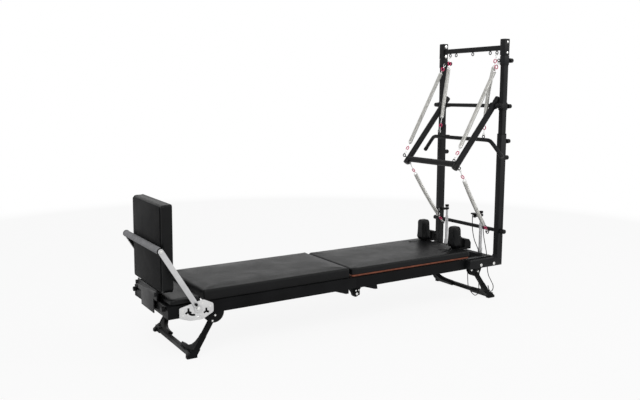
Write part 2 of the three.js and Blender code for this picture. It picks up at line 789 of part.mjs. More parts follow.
// Jump board: a padded board on a hooked bracket, in front of the foot beam
place('jump_board_pad', toGeometry(toSolid(standing(boardX, boardX + boardThick, -boardWidth / 2, boardWidth / 2,
  boardBottom, boardBottom + boardHeight, padCorner))), 'pad');
const bracketX = -bracketOut;
const shelf = boardBottom - seat;
place('jump_board_bracket', join(
  box(bracketX - bracketPlate, bracketX, -bracketWide / 2, bracketWide / 2, bracketStep, shelf),
  box(bracketX - bracketPlate, bracketX, -bracketNarrow / 2, bracketNarrow / 2, bracketLow, bracketStep + overrun),
  box(bracketX - overrun, boardX + boardThick - bracketPlate, -bracketWide / 2, bracketWide / 2,
    shelf - bracketPlate, shelf),
  box(bracketX - overrun, platformStart - bracketPlate, -bracketNarrow / 2, bracketNarrow / 2,
    railTop - overrun + seat, railTop + bracketPlate),
  ...nearAndFar.flatMap(([, sign]) => [
    box(bracketX - overrun, platformStart - bracketPlate, sign * (bracketNarrow / 2 - bracketPlate),
      sign * bracketNarrow / 2, railTop + overrun, shelf - overrun),
    box(bracketX - overrun, overrun - seat, sign * bracketNarrow / 4, sign * (bracketNarrow / 4 + bracketFin),
      railBottom + bracketPlate, railTop - bracketPlate),
    box(bracketX - bracketPlate - bracketFin, bracketX - overrun, sign * (bracketWide / 2 - bracketPlate),
      sign * bracketWide / 2, bracketStep, shelf),
  ]),
), 'frame');

for (const [side, sign] of nearAndFar) {
  place(`end_knob_${side}`, join(
    rod([-swing * 2, sign * knobY, knobZ], [knobLength, sign * knobY, knobZ], knobShank, small),
    rod([-swing, sign * knobY, knobZ], [-knobLength, sign * knobY, knobZ], knobRadius, 12),
  ), 'plastic');
}

// Pads that rest on the rails
place('foot_platform_pad', toGeometry(toSolid(cushion(platformStart, platformEnd, -padWidth / 2, padWidth / 2,
  railTop + seat, railTop + seat + platformHeight, platformCorner))), 'pad');
place('mat_pad', toGeometry(toSolid(cushion(matStart, matEnd, -padWidth / 2, padWidth / 2,
  railTop + seat, matTop, padCorner))), 'pad');

// Carriage: plywood board, pad, truck with wheels, and the parked bed springs
const boardTop = railTop + boardLift + carriageBoard;
const padBottom = boardTop + seat;
const padTop = padBottom + carriagePad;
const pegBores = (low, high) => nearAndFar.map(([, sign]) => rod([pegX, sign * shoulderY, low],
  [pegX, sign * shoulderY, high], pegRadius + swing / 2, small));
place('carriage_board', cut(
  box(carriageStart, carriageEnd - boardInset, -padWidth / 2 + boardInset, padWidth / 2 - boardInset,
    boardTop - carriageBoard, boardTop),
  ...pegBores(boardTop - carriageBoard - overrun, boardTop + overrun),
), 'plywood');
// Each socket plate lies askew in the pad's top, with a round hole near each end
const rims = nearAndFar.map(([, sign]) => box(-socketLength / 2, socketLength / 2, -socketWidth / 2, socketWidth / 2,
  padTop - socketRim * 2, padTop + socketRim).rotateZ(socketTurn).translate(socketX, sign * socketY, 0));
const rimHoles = nearAndFar.flatMap(([, sign]) => [-1, 1].map((end) => {
  const x = socketX + Math.cos(socketTurn) * end * socketLength / 4;
  const y = sign * socketY + Math.sin(socketTurn) * end * socketLength / 4;
  return rod([x, y, padTop - socketRim], [x, y, padTop + socketRim + overrun], socketHole, 6);
}));
place('carriage_pad', cut(join(
  cushion(carriageStart, carriageEnd, -padWidth / 2, padWidth / 2, padBottom, padTop, carriageCorner), ...rims),
  ...pegBores(padBottom - overrun, padTop + overrun), ...rimHoles), 'pad');

const wheelZ = railBottom + railWall + wheelRadius + seat;
const wheelXs = [carriageStart + wheelInset, carriageEnd - wheelInset];
const wheelIn = sideOut - railWall - swing - wheelWidth;
const truckOut = railIn - swing * 2;
const truckParts = [];
for (const [, sign] of nearAndFar) {
  truckParts.push(box(wheelXs[0] - truckBar, wheelXs[1] + truckBar, sign * truckOut, sign * (truckOut - truckPlate),
    wheelZ + truckDrop / 3, boardTop - carriageBoard - seat));
  for (const x of wheelXs) {
    truckParts.push(box(x - truckBar / 2, x + truckBar / 2, sign * truckOut, sign * (truckOut - truckPlate),
      wheelZ - truckBar / 2, wheelZ + truckDrop / 2));
    truckParts.push(rod([x, sign * (truckOut - overrun), wheelZ], [x, sign * (wheelIn + wheelWidth), wheelZ],
      axleRadius, small));
  }
}
for (const x of wheelXs) {
  truckParts.push(box(x - truckBar, x + truckBar, -truckOut + overrun, truckOut - overrun,
    wheelZ + truckDrop / 3 + overrun, boardTop - carriageBoard - seat - overrun));
}
place('carriage_truck', join(...truckParts), 'frame');
for (const [side, sign] of nearAndFar) {
  wheelXs.forEach((x, i) => {
    const profile = [[wheelBore, 0], [wheelRadius - studRise, 0], [wheelRadius, studRise],
      [wheelRadius, wheelWidth - studRise], [wheelRadius - studRise, wheelWidth], [wheelBore, wheelWidth], [wheelBore, 0]];
    const wheel = new THREE.LatheGeometry(profile.map(([r, y]) => new THREE.Vector2(r, y)), round);
    wheel.translate(0, sign > 0 ? wheelIn : -wheelIn - wheelWidth, 0).translate(x, 0, wheelZ);
    place(`carriage_wheel_${side}_${i ? 'head' : 'foot'}`, wheel, 'plastic');
  });
}
const parkZ = boardTop - carriageBoard - seat - bedSpringRadius * 2 - bedSpringRise;
const parkStart = wheelXs[0] + truckBar + bedSpringGap;
const parkParts = [box(parkStart, parkStart + bedSpringBar, -bedSpringPitch * 2 - bedSpringRadius,
  bedSpringPitch * 2 + bedSpringRadius, parkZ - overrun, boardTop - carriageBoard - seat)];
for (const place of [-2, -1, 0, 1, 2]) {
  const y = place * bedSpringPitch;
  parkParts.push(rod([parkStart + overrun, y, parkZ + bedSpringRadius],
    [parkStart + bedSpringLength, y, parkZ + bedSpringRadius], bedSpringRadius, small));
}
place('bed_springs', join(...parkParts), 'spring');

// Shoulder rests: a pad in front of a foot block, pegged through the carriage pad
const restFront = shoulderX - shoulderThick / 2;
const restBack = shoulderX + shoulderThick / 2;
for (const [side, sign] of nearAndFar) {
  const y = sign * shoulderY;
  const low = padTop + seat;
  place(`shoulder_pad_${side}`, toGeometry(toSolid(narrowed(standing(restFront, restBack, y - shoulderWidth / 2,
    y + shoulderWidth / 2, low + shoulderFoot + seat, low + shoulderHeight, shoulderCorner),
  y, low + shoulderFoot, low + shoulderHeight, shoulderTopShare))), 'pad');
  const back = restBack + seat;
  const outline = polygon([
    [restFront + padEase, low], [back + shoulderBaseLength, low], [back + shoulderBaseLength, low + shoulderBaseHeight / 2],
    [back + shoulderBaseLength / 2, low + shoulderBaseHeight], [back, low + shoulderBaseHeight],
    [back, low + shoulderFoot], [restFront + padEase, low + shoulderFoot],
  ]);
  const inner = y - sign * shoulderBaseWidth / 2;
  place(`shoulder_base_${side}`, join(
    sheetXZ(outline, y - shoulderBaseWidth / 2, y + shoulderBaseWidth / 2),
    rod([pegX, y, low + overrun], [pegX, y, boardTop - carriageBoard], pegRadius, small),
    rod([back + shoulderBaseLength / 2, inner + sign * overrun, low + shoulderBaseHeight / 2],
      [back + shoulderBaseLength / 2, inner - sign * leverReach, low + shoulderBaseHeight / 2], leverRadius, small),
  ), 'plastic');
}

// Places along the push-through bar's arms, which lean forward from their pivot
const lean = THREE.MathUtils.degToRad(pushLean);
const down = [-Math.sin(lean), -Math.cos(lean)];
const front = [-Math.cos(lean), Math.sin(lean)];
const onArm = (along, off = 0) => [pushPivotX + down[0] * along + front[0] * off,
  pushPivotZ + down[1] * along + front[1] * off];
const at = (y, [x, z]) => [x, y, z];

// The eyes that each side's springs hang between
const topEyeZ = topBarZ - topBarSize / 2 - eyeRing - eyeShank;
const eyes = {};
for (const [side, sign] of nearAndFar) {
  eyes[side] = {
    sleeve: [springEyeX, sign * springEyeY, topSleeveZ],
    upper: at(sign * pushEyeY, onArm(pushBarAlong, upperEyeOff)),
    lower: at(sign * pushEyeY, onArm(pushBarAlong - lowerEyeUp, -lowerEyeOff)),
    low: [towerX - lowEyeForward, sign * lowEyeY, lowBarZ - lowEyeDown],
    top: [towerX, sign * eyeYs[4], topEyeZ],
    roll: [rollX, sign * rollEyeY, rollZ + rollRadius + eyeRing],
  };
}

// An eye that stands in the XZ plane, with a corner towards the eye that it is sprung to
function edgeEye(side, name, far) {
  const toward = new THREE.Vector3(...eyes[side][far]).sub(new THREE.Vector3(...eyes[side][name]));
  return ring(eyes[side][name], [0, 1, 0], toward.toArray(), eyeRing, eyeWire);
}

// Tower uprights: a square lower tube with an arm along the rail, and an upper tube inside it
const towerIn = sideOut + seat;
const towerMid = towerIn + towerDepth / 2;
const lowHalf = lowerTube / 2;
const upHalf = upperTube / 2;
const upDepth = towerDepth / 2 - (lowHalf - upHalf) + tubeEase;
const pinBoss = plungerNeck + studRise;
for (const [side, sign] of nearAndFar) {
  const y = sign * towerMid;
  const web = polygon([
    [towerX - lowHalf + overrun, armDrop + armHeight - overrun], [towerX - lowHalf - cornerWeb, armDrop + armHeight - overrun],
    [towerX - lowHalf - cornerWeb / 3, armDrop + armHeight + cornerWeb / 3],
    [towerX - lowHalf + overrun, armDrop + armHeight + cornerWeb],
  ]);
  const out = sign * (towerIn + towerDepth);
  place(`lower_upright_${side}`, cut(join(
    box(towerX - lowHalf, towerX + lowHalf, sign * towerIn, out, armDrop, lowerTop),
    box(armStartX, towerX - lowHalf + overrun, sign * towerIn, out, armDrop, armDrop + armHeight),
    sheetXZ(web, sign * (towerIn + tubeWall), sign * (towerIn + towerDepth - tubeWall)),
    ...armBolts.map(([x, z]) => rod([x, out - sign * overrun, z], [x, out + sign * boltRise, z], pivotBolt, hex)),
    rod([towerX + lowHalf - overrun, y, lockZ], [towerX + lowHalf + plungerHeadLength, y, lockZ], plungerNeck, small),
    rod([towerX + lowHalf + plungerHeadLength - overrun, y, lockZ],
      [towerX + lowHalf + plungerHeadLength * 2, y, lockZ], knobRadius, 12),
    rod([towerX + lowHalf - overrun, y, teleZ], [towerX + lowHalf + plungerHeadLength, y, teleZ], pinBoss, small),
  ),
  box(towerX - upHalf - seat, towerX + upHalf + seat, y - upDepth - seat, y + upDepth + seat,
    upperStart - seat, lowerTop + overrun),
  rod([towerX + upHalf - overrun, y, teleZ], [towerX + lowHalf + plungerHeadLength + overrun, y, teleZ],
    plungerNeck - studRise + swing / 2, small),
  rod([towerX, y - towerDepth, lowBarZ], [towerX, y + towerDepth, lowBarZ], lowStud + swing / 2, small),
  ), 'frame');

  const pinHoles = [teleZ, bandSleeveZ, topSleeveZ].map((z) => rod([towerX + upHalf - plungerDepth - overrun, y, z],
    [towerX + upHalf + overrun, y, z], plungerNeck - studRise + swing / 2, small));
  place(`upper_upright_${side}`, cut(join(
    box(towerX - upHalf, towerX + upHalf, y - upDepth, y + upDepth, upperStart, towerTop),
    ...topBolts.map((z) => rod([towerX, y + sign * (upDepth - overrun), z], [towerX, y + sign * (upDepth + boltRise), z],
      capRadius, hex)),
    rod([towerX, y - sign * (upDepth - overrun), topBolts[0]], [towerX, y - sign * (upDepth + washerThick), topBolts[0]],
      washerRadius, 12),
  ), ...pinHoles), 'frame');

  // A sleeve around the upper tube, with its plunger's boss at the rear
  const around = (z, height) => [
    box(towerX - upHalf - sleeveWall, towerX + upHalf + sleeveWall, y - upDepth - sleeveWall, y + upDepth + sleeveWall,
      z - height / 2, z + height / 2),
    rod([towerX + upHalf + sleeveWall - overrun, y, z],
      [towerX + upHalf + sleeveWall + plungerHeadLength, y, z], pinBoss, small),
  ];
  const through = (z, height) => [
    box(towerX - upHalf - seat, towerX + upHalf + seat, y - upDepth - seat, y + upDepth + seat,
      z - height, z + height),
    rod([towerX + upHalf - overrun, y, z], [towerX + upHalf + sleeveWall + plungerHeadLength + overrun, y, z],
      plungerNeck - studRise + swing / 2, small),
  ];
  const face = y - sign * (upDepth + sleeveWall);
  place(`top_sleeve_${side}`, cut(join(
    ...around(topSleeveZ, topSleeveHeight),
    rod([springEyeX, face + sign * overrun, topSleeveZ], [springEyeX, sign * (springEyeY + eyeRing), topSleeveZ],
      eyeShank, 5),
    ring(eyes[side].sleeve, [1, 0, 0], [0, 0, -1], eyeRing, eyeWire),
  ), ...through(topSleeveZ, topSleeveHeight)), 'frame');
  place(`band_sleeve_${side}`, cut(join(
    ...around(bandSleeveZ, bandSleeveHeight),
    box(pushPivotX, towerX - upHalf - sleeveWall + overrun, y - upDepth, y + upDepth,
      pushPivotZ - lugRadius, pushPivotZ + lugRadius),
    rod([pushPivotX, y - upDepth, pushPivotZ], [pushPivotX, y + upDepth, pushPivotZ], lugRadius),
  ), ...through(bandSleeveZ, bandSleeveHeight),
  rod([pushPivotX, y - towerDepth, pushPivotZ], [pushPivotX, y + towerDepth, pushPivotZ],
    pushPivotRadius + swing / 2)), 'frame');

  // Spring plungers, pulled out to the rear
  const plunger = (name, z, behind, finish) => place(`${name}_${side}`, join(
    rod([towerX + upHalf - plungerDepth, y, z], [behind + plungerHeadLength + overrun * 2, y, z],
      plungerNeck - studRise, small),
    rod([behind + plungerHeadLength + overrun, y, z], [behind + plungerHeadLength * 2, y, z], plungerHead, 12),
  ), finish);
  plunger('telescope_pin', teleZ, towerX + lowHalf, 'silver');
  plunger('band_sleeve_pin', bandSleeveZ, towerX + upHalf + sleeveWall, 'plastic');
  plunger('top_sleeve_pin', topSleeveZ, towerX + upHalf + sleeveWall, 'plastic');
}

// Crossbars between the uprights, with eyelets below them
const upperIn = towerMid - upDepth - seat;
place('top_crossbar', join(
  box(towerX - topBarSize / 2, towerX + topBarSize / 2, -upperIn, upperIn,
    topBarZ - topBarSize / 2, topBarZ + topBarSize / 2),
  ...eyeYs.flatMap((y) => [
    ring([towerX, y, topEyeZ], [1, 0, 0], [0, 0, -1], eyeRing, eyeWire),
    rod([towerX, y, topBarZ - topBarSize / 2 + overrun], [towerX, y, topEyeZ + eyeRing], eyeShank, 5),
  ]),
), 'frame');
place('lower_crossbar', join(
  rod([towerX, -towerIn + swing, lowBarZ], [towerX, towerIn - swing, lowBarZ], lowBarRadius),
  rod([towerX, -lowKnobReach, lowBarZ], [towerX, lowKnobReach, lowBarZ], lowStud, small),
  ...nearAndFar.flatMap(([side, sign]) => [
    rod([towerX, sign * (towerIn + towerDepth + seat), lowBarZ], [towerX, sign * lowKnobReach, lowBarZ],
      lowBarRadius, 12),
    edgeEye(side, 'low', 'lower'),
    rod([towerX, sign * lowEyeY, lowBarZ], [towerX - lowEyeForward * lowShankShare, sign * lowEyeY,
      lowBarZ - lowEyeDown * lowShankShare], eyeShank, 5),
  ]),
), 'frame');

// Push-through bar, leaning forward from its pivot bar
const pushParts = [
  rod([pushPivotX, -pushPivotReach, pushPivotZ], [pushPivotX, pushPivotReach, pushPivotZ], pushPivotRadius),
  rod(at(-pushArmY, onArm(pushBarAlong)), at(pushArmY, onArm(pushBarAlong)), pushBarRadius),
];
for (const [side, sign] of nearAndFar) {
  const y = sign * pushArmY;
  pushParts.push(rod(at(y, onArm(-pushArmAbove)), at(y, onArm(pushArmBelow)), pushArmRadius));
  pushParts.push(rod([pushPivotX, y - pushTeeLength / 2, pushPivotZ], [pushPivotX, y + pushTeeLength / 2, pushPivotZ],
    pushTeeRadius));
  for (const [name, far, along, off] of [
    ['upper', 'sleeve', pushBarAlong, upperEyeOff], ['lower', 'low', pushBarAlong - lowerEyeUp, -lowerEyeOff],
  ]) {
    pushParts.push(edgeEye(side, name, far));
    pushParts.push(rod(at(y, onArm(along)), at(sign * pushEyeY, onArm(along, off - Math.sign(off) * eyeRing)),
      eyeShank, 5));
  }
}
place('push_through_bar', join(...pushParts), 'frame');

// Roll-down bar: a bar with bent grips, hung on two springs
const rollSide = [
  [rollX, rollBend - rollCorner, rollZ], [rollX + studRise, rollBend, rollZ - rollCorner / 6],
  [rollX + rollBack / 2, rollBend + rollCorner, rollZ - rollCorner / 2], [rollX + rollBack, rollEnd, rollZ - rollDrop],
];
const rollPath = [
  ...rollSide.map(([x, y, z]) => [x, -y, z]).reverse(),
  [rollX, 0, rollZ],
  ...rollSide,
];
const rollParts = [tubeAlong(rollPath, rollRadius, small, rollSteps)];
for (const [side] of nearAndFar) {
  rollParts.push(edgeEye(side, 'roll', 'top'));
}
place('roll_down_bar', join(...rollParts), 'frame');

// A visible spring: snap links and rings at both ends of one coil
let leastGap = Infinity;
function coil(start, end, curls) {
  const a = new THREE.Vector3(...start);
  const b = new THREE.Vector3(...end);
  const axis = b.clone().sub(a).normalize();
  const u = new THREE.Vector3(0, 1, 0);
  u.sub(axis.clone().multiplyScalar(u.dot(axis))).normalize();
  const v = axis.clone().cross(u);
  const radius = coilOuter - coilWire / 2;
  const length = a.distanceTo(b) - 2 * coilWire;
  const path = [a.clone().addScaledVector(u, radius)];
  const steps = curls * coilSteps;
  for (let i = 0; i <= steps; i += 1) {
    const turn = (2 * Math.PI * i) / coilSteps;
    path.push(a.clone().addScaledVector(axis, coilWire + (length * i) / steps)
      .addScaledVector(u, radius * Math.cos(turn)).addScaledVector(v, radius * Math.sin(turn)));
  }
  path.push(b.clone().addScaledVector(u, radius));
  for (let i = 1; i + coilSteps < steps; i += 1) {
    for (let j = i + coilSteps - 2; j <= i + coilSteps + 2 && j <= steps; j += 1) {
      leastGap = Math.min(leastGap, path[i].distanceTo(path[j]) - coilWire);
    }
  }
  const points = [];
  path.forEach((p, i) => {
    const next = path[Math.min(i + 1, path.length - 1)];
    const tangent = next.clone().sub(path[Math.max(i - 1, 0)]).normalize();
    const out = p.clone().sub(a);
    out.addScaledVector(axis, -out.dot(axis)).normalize();
    const side = tangent.clone().cross(out).normalize();
    out.crossVectors(side, tangent);
    for (let k = 0; k < coilSides; k += 1) {
      const angle = (2 * Math.PI * k) / coilSides;
      const q = p.clone().addScaledVector(out, (coilWire / 2) * Math.cos(angle))
        .addScaledVector(side, (coilWire / 2) * Math.sin(angle));
      points.push(q.x, q.y, q.z);
    }
  });
  const faces = [];
  for (let i = 0; i < path.length - 1; i += 1) {
    for (let k = 0; k < coilSides; k += 1) {
      const p = i * coilSides + k;
      const q = i * coilSides + ((k + 1) % coilSides);
      faces.push(p, q, q + coilSides, p, q + coilSides, p + coilSides);
    }
  }
  const last = (path.length - 1) * coilSides;
  for (let k = 1; k < coilSides - 1; k += 1) {
    faces.push(0, k + 1, k);
    faces.push(last, last + k, last + k + 1);
  }
  const form = new THREE.BufferGeometry();
  form.setAttribute('position', new THREE.BufferAttribute(new Float32Array(points), 3));
  form.setIndex(faces);
  const body = toSolid(form);
  return body.volume() > 0 ? form : flipped(form);
}

function flipped(form) {
  const turned = form.clone();
  const index = Array.from(form.index.array);
  for (let i = 0; i < index.length; i += 3) {
    [index[i + 1], index[i + 2]] = [index[i + 2], index[i + 1]];
  }
  turned.setIndex(index);
  return turned;
}

// Where a link bears on an eye's wire: below a flat eye, or towards the spring's far end on one on edge
function bearing(eye, kind, far) {
  const centre = new THREE.Vector3(...eye);
  if (kind === 'flat') return centre.add(new THREE.Vector3(0, 0, -eyeRing));
  return centre.addScaledVector(new THREE.Vector3(...far).sub(centre).normalize(), eyeRing);
}

// A spring hung between two eyes; the link on a flat eye lies in the XZ plane, the other across it
function hungSpring(name, from, to, topLink, bottomLink, topKind, bottomKind, curls) {
  const a = bearing(from, topKind, to);
  const b = bearing(to, bottomKind, a.toArray());
  const axis = b.clone().sub(a).normalize();
  const edge = new THREE.Vector3(0, 1, 0).cross(axis).normalize();
  const normals = { flat: edge.clone().cross(axis).toArray(), edge: edge.toArray() };
  const along = (d) => a.clone().addScaledVector(axis, d).toArray();
  const total = a.distanceTo(b);
  const parts = [];
  for (const [first, sense, link, kind] of [[0, 1, topLink, topKind], [total, -1, bottomLink, bottomKind]]) {
    const d = (x) => along(first + sense * x);
    const hook = linkRing - linkWire - eyeWire - seat;
    const neck = link * lockShare;
    parts.push(ring(d(hook), normals[kind], axis.toArray(), linkRing, linkWire));
    parts.push(rod(d(hook + linkRing), d(neck), neckRadius, 4));
    parts.push(ring(d(neck + lockRing), normals[kind], axis.toArray(), lockRing, lockWire));
    parts.push(turned(d(neck + lockRing * 2), d(link), [
      [neckRadius, 0], [neckRadius, link - neck - lockRing * 2 - coneLength],
      [capOuter, link - neck - lockRing * 2 - capThick], [capOuter, link - neck - lockRing * 2 + capThick],
    ]));
  }
  parts.push(coil(along(topLink), along(total - bottomLink), curls));
  place(name, join(...parts), 'spring');
}

for (const [side] of nearAndFar) {
  const eye = eyes[side];
  hungSpring(`long_spring_${side}`, eye.sleeve, eye.upper, shortLink, longLink, 'flat', 'edge', longCurls);
  hungSpring(`low_spring_${side}`, eye.lower, eye.low, shortLink, longLink, 'edge', 'edge', lowCurls);
  hungSpring(`roll_spring_${side}`, eye.top, eye.roll, rollLinkTop, rollLinkBottom, 'flat', 'edge', shortCurls);
}
console.log(`least gap between curls ${leastGap.toFixed(2)} mm`);

// Rope risers with their pulleys
const grooveRadius = pulleyRadius - ropeRadius * 2;
for (const [side, sign] of nearAndFar) {
  const y = sign * riserY;
  const cheekIn = pulleyWidth / 2 + swing;
  place(`riser_${side}`, join(
    rod([riserX, y, railTop + swing], [riserX, y, riserTop - overrun], riserRadius),
    rod([riserX, y, riserTop - riserCapHeight], [riserX, y, riserTop], riserCap, 12),
    box(pulleyX + pulleyRadius + studRise, riserX + riserCap, y - cheekIn - cheekThick, y + cheekIn + cheekThick,
      pulleyZ - cheekSize / 2, pulleyZ + cheekSize / 2),
    ...[-1, 1].flatMap((end) => [
      box(pulleyX, pulleyX + pulleyRadius + studRise * 2, y + end * cheekIn, y + end * (cheekIn + cheekThick),
        pulleyZ - cheekSize / 2, pulleyZ + cheekSize / 2),
      rod([pulleyX, y + end * cheekIn, pulleyZ], [pulleyX, y + end * (cheekIn + cheekThick), pulleyZ], cheekSize * 0.7, 12),
    ]),
    rod([pulleyX, y - cheekIn - overrun, pulleyZ], [pulleyX, y + cheekIn + overrun, pulleyZ], pulleyHub, small),
  ), 'silver');
  const profile = [
    [pulleyHub + swing / 2, -pulleyWidth / 2], [pulleyRadius, -pulleyWidth / 2],
    [grooveRadius, -ropeRadius / 2], [grooveRadius, ropeRadius / 2],
    [pulleyRadius, pulleyWidth / 2], [pulleyHub + swing / 2, pulleyWidth / 2], [pulleyHub + swing / 2, -pulleyWidth / 2],
  ];
  place(`pulley_${side}`, new THREE.LatheGeometry(profile.map(([r, w]) => new THREE.Vector2(r, w)), round)
    .translate(pulleyX, y, pulleyZ), 'plastic');
}

// Ropes
for (const [name, sign, points] of ropeRoutes) {
  const route = points.map(([past, inward, z]) => [railEndX + past, sign * (sideOut - inward), z]);
  const curve = new THREE.CatmullRomCurve3(route.map((p) => new THREE.Vector3(...p)), false, 'centripetal');
  place(name, tubeAlong(route, ropeRadius, ropeSides, Math.round(curve.getLength() / (ropeRadius * 2 * ropeStep))), 'rope');
}

// The origin goes to the middle of the floor area that the whole object covers
const extent = new THREE.Box3().setFromObject(unit);
unit.position.set(-(extent.min.x + extent.max.x) / 2, -(extent.min.y + extent.max.y) / 2, -extent.min.z);
export default unit;
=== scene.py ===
"""A folding pilates bed with a half tower at its head end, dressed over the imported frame.

Places are written in millimetres from the bed's foot end, its middle and the floor, and at() turns them into the
frame's metres.
"""
import json
import math

import bpy
import numpy as np
from mathutils import Matrix, Vector


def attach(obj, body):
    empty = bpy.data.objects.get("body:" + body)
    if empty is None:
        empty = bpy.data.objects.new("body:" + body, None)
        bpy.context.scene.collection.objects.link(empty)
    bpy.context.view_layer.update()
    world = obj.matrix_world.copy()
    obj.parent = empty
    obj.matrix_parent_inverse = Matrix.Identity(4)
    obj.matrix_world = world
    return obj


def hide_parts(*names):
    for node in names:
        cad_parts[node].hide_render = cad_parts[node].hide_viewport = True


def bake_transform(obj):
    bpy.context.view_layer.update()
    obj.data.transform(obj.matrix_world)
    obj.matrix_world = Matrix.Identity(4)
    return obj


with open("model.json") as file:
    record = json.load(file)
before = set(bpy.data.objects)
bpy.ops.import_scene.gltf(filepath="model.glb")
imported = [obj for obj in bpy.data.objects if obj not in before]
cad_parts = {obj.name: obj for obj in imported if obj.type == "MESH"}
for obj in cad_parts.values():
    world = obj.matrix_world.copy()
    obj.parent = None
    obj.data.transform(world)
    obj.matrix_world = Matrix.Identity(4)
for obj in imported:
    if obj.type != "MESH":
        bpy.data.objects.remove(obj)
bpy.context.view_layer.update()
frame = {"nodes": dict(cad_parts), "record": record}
bpy.ops.object.select_all(action="DESELECT")

# Camera. It stands beyond the foot end on the near side, at eye height, and looks along the bed towards the tower.
bpy.ops.object.camera_add(
    location=(-2.6127, -4.0891, 1.5278),
    rotation=(math.radians(81.58), 0, math.radians(-31.76)),
)
camera = bpy.context.object
camera.data.lens = 40.17
camera.data.sensor_width = 36
bpy.context.scene.camera = camera

# Ropes. Three black braided polyester cords, 6 mm thick, which hang from the pulleys and over the lower crossbar
# down among the head legs. Each is one braided line; the near rear and far ones have a shrunk sleeve on their free
# end.
FOOT_END = 1285.5
NEAR_AND_FAR = (("near", -1), ("far", 1))


def at(x, y, z):
    """Millimetres from the foot end, the middle and the floor, as a point of the frame."""
    return Vector(((x - FOOT_END) / 1000, y / 1000, z / 1000))


def mm(length):
    """Millimetres as metres."""
    return length / 1000


def only(obj):
    """Selects obj alone and makes it the active one."""
    bpy.ops.object.select_all(action="DESELECT")
    obj.select_set(True)
    bpy.context.view_layer.objects.active = obj


def effect(name, inputs):
    """An empty shader node group that makes a tone, a roughness and a height, with its input and output nodes."""
    group = bpy.data.node_groups.new(name, "ShaderNodeTree")
    for label, kind, value in inputs:
        socket = group.interface.new_socket(name=label, in_out="INPUT", socket_type="NodeSocket" + kind)
        socket.default_value = value
    for label in ("Tone", "Roughness", "Height"):
        group.interface.new_socket(name=label, in_out="OUTPUT", socket_type="NodeSocketFloat")
    return group, group.nodes.new("NodeGroupInput").outputs, group.nodes.new("NodeGroupOutput").inputs


def add_node(tree, kind, feeds, **settings):
    """A shader node with its settings. feeds gives each of its inputs a plain value or another node's output."""
    node = tree.nodes.new("ShaderNode" + kind)
    for key, value in settings.items():
        setattr(node, key, value)
    for key, value in feeds.items():
        if isinstance(value, bpy.types.NodeSocket):
            tree.links.new(value, node.inputs[key])
        else:
            node.inputs[key].default_value = value
    return node


def finish(name, group, values, dark, light, relief, **sockets):
    """A material whose colour runs from dark to light with the group's Tone, over its Roughness and Height."""
    material = bpy.data.materials.new(name)
    material.use_nodes = True
    tree = material.node_tree
    shader = tree.nodes["Principled BSDF"]
    look = add_node(tree, "Group", {}, node_tree=group)
    for key, value in values.items():
        look.inputs[key].default_value = value
    colour = add_node(tree, "Mix", {0: look.outputs["Tone"], 6: (*dark, 1), 7: (*light, 1)}, data_type="RGBA")
    bump = add_node(tree, "Bump", {"Height": look.outputs["Height"], "Distance": relief, "Strength": 1})
    tree.links.new(colour.outputs[2], shader.inputs["Base Color"])
    tree.links.new(look.outputs["Roughness"], shader.inputs["Roughness"])
    tree.links.new(bump.outputs["Normal"], shader.inputs["Normal"])
    for key, value in sockets.items():
        shader.inputs[key.replace("_", " ")].default_value = value
    return material


def grained(name, fine, patch, roughness, dark, light, relief, **sockets):
    """A finish over the surface grain, with the scales of its pimple and patches and its two roughnesses."""
    least, most = roughness
    values = {"Fine scale": fine, "Patch scale": patch, "Least roughness": least, "Most roughness": most}
    return finish(name, grain, values, dark, light, relief, **sockets)


def sum_of(tree, operation, first, second=0):
    """What a sum makes of two values."""
    return add_node(tree, "Math", {0: first, 1: second}, operation=operation).outputs[0]


def spread(tree, value, low, high):
    """A value of 0 to 1 spread from low to high."""
    node = add_node(tree, "MapRange", {"Value": value, "To Min": low, "To Max": high})
    return node.outputs["Result"]


# Grain that moulded, coated and plated surfaces share: a fine pimple and broad, faint patches
grain, given, made = effect(
    "Surface grain",
    [("Fine scale", "Float", 700), ("Patch scale", "Float", 5), ("Stretch", "Vector", (1, 1, 1)),
     ("Least roughness", "Float", 0.4), ("Most roughness", "Float", 0.5)],
)
tree = made[0].node.id_data
place = add_node(tree, "TexCoord", {}).outputs["Object"]
stretched = add_node(tree, "VectorMath", {0: place, 1: given["Stretch"]}, operation="MULTIPLY").outputs[0]
fine = add_node(tree, "TexNoise", {"Vector": stretched, "Scale": given["Fine scale"], "Detail": 2}).outputs[0]
patch = add_node(tree, "TexNoise", {"Vector": place, "Scale": given["Patch scale"], "Detail": 5}).outputs[0]
tone = add_node(tree, "MapRange", {"Value": patch, "From Min": 0.35, "From Max": 0.68}).outputs["Result"]
tree.links.new(tone, made["Tone"])
tree.links.new(spread(tree, tone, given["Least roughness"], given["Most roughness"]), made["Roughness"])
tree.links.new(fine, made["Height"])

# Braid that runs round a cord along its own length, its colour following the strands' rise as painted shade between
# them
braid, given, made = effect("Braid", [("Pitch along", "Float", 100), ("Strands round", "Float", 4)])
tree = made[0].node.id_data
along_round = add_node(tree, "SeparateXYZ", {0: add_node(tree, "TexCoord", {}).outputs["UV"]})
crossings = []
for hand in (1, -1):
    along_part = sum_of(tree, "MULTIPLY", along_round.outputs[0], given["Pitch along"])
    round_part = sum_of(tree, "MULTIPLY", along_round.outputs[1], given["Strands round"])
    phase = sum_of(tree, "ADD", along_part, sum_of(tree, "MULTIPLY", round_part, hand))
    crossings.append(sum_of(tree, "SINE", sum_of(tree, "MULTIPLY", phase, math.tau)))
plait = sum_of(tree, "MAXIMUM", *crossings)
plait_rise_and_shade = add_node(tree, "MapRange", {"Value": plait, "From Min": -0.3, "From Max": 1}).outputs["Result"]
# The strands' rise sets the tone as well: painted shade in the grooves between the strands
tree.links.new(plait_rise_and_shade, made["Tone"])
tree.links.new(plait_rise_and_shade, made["Height"])
tree.links.new(spread(tree, plait_rise_and_shade, 0.9, 0.6), made["Roughness"])


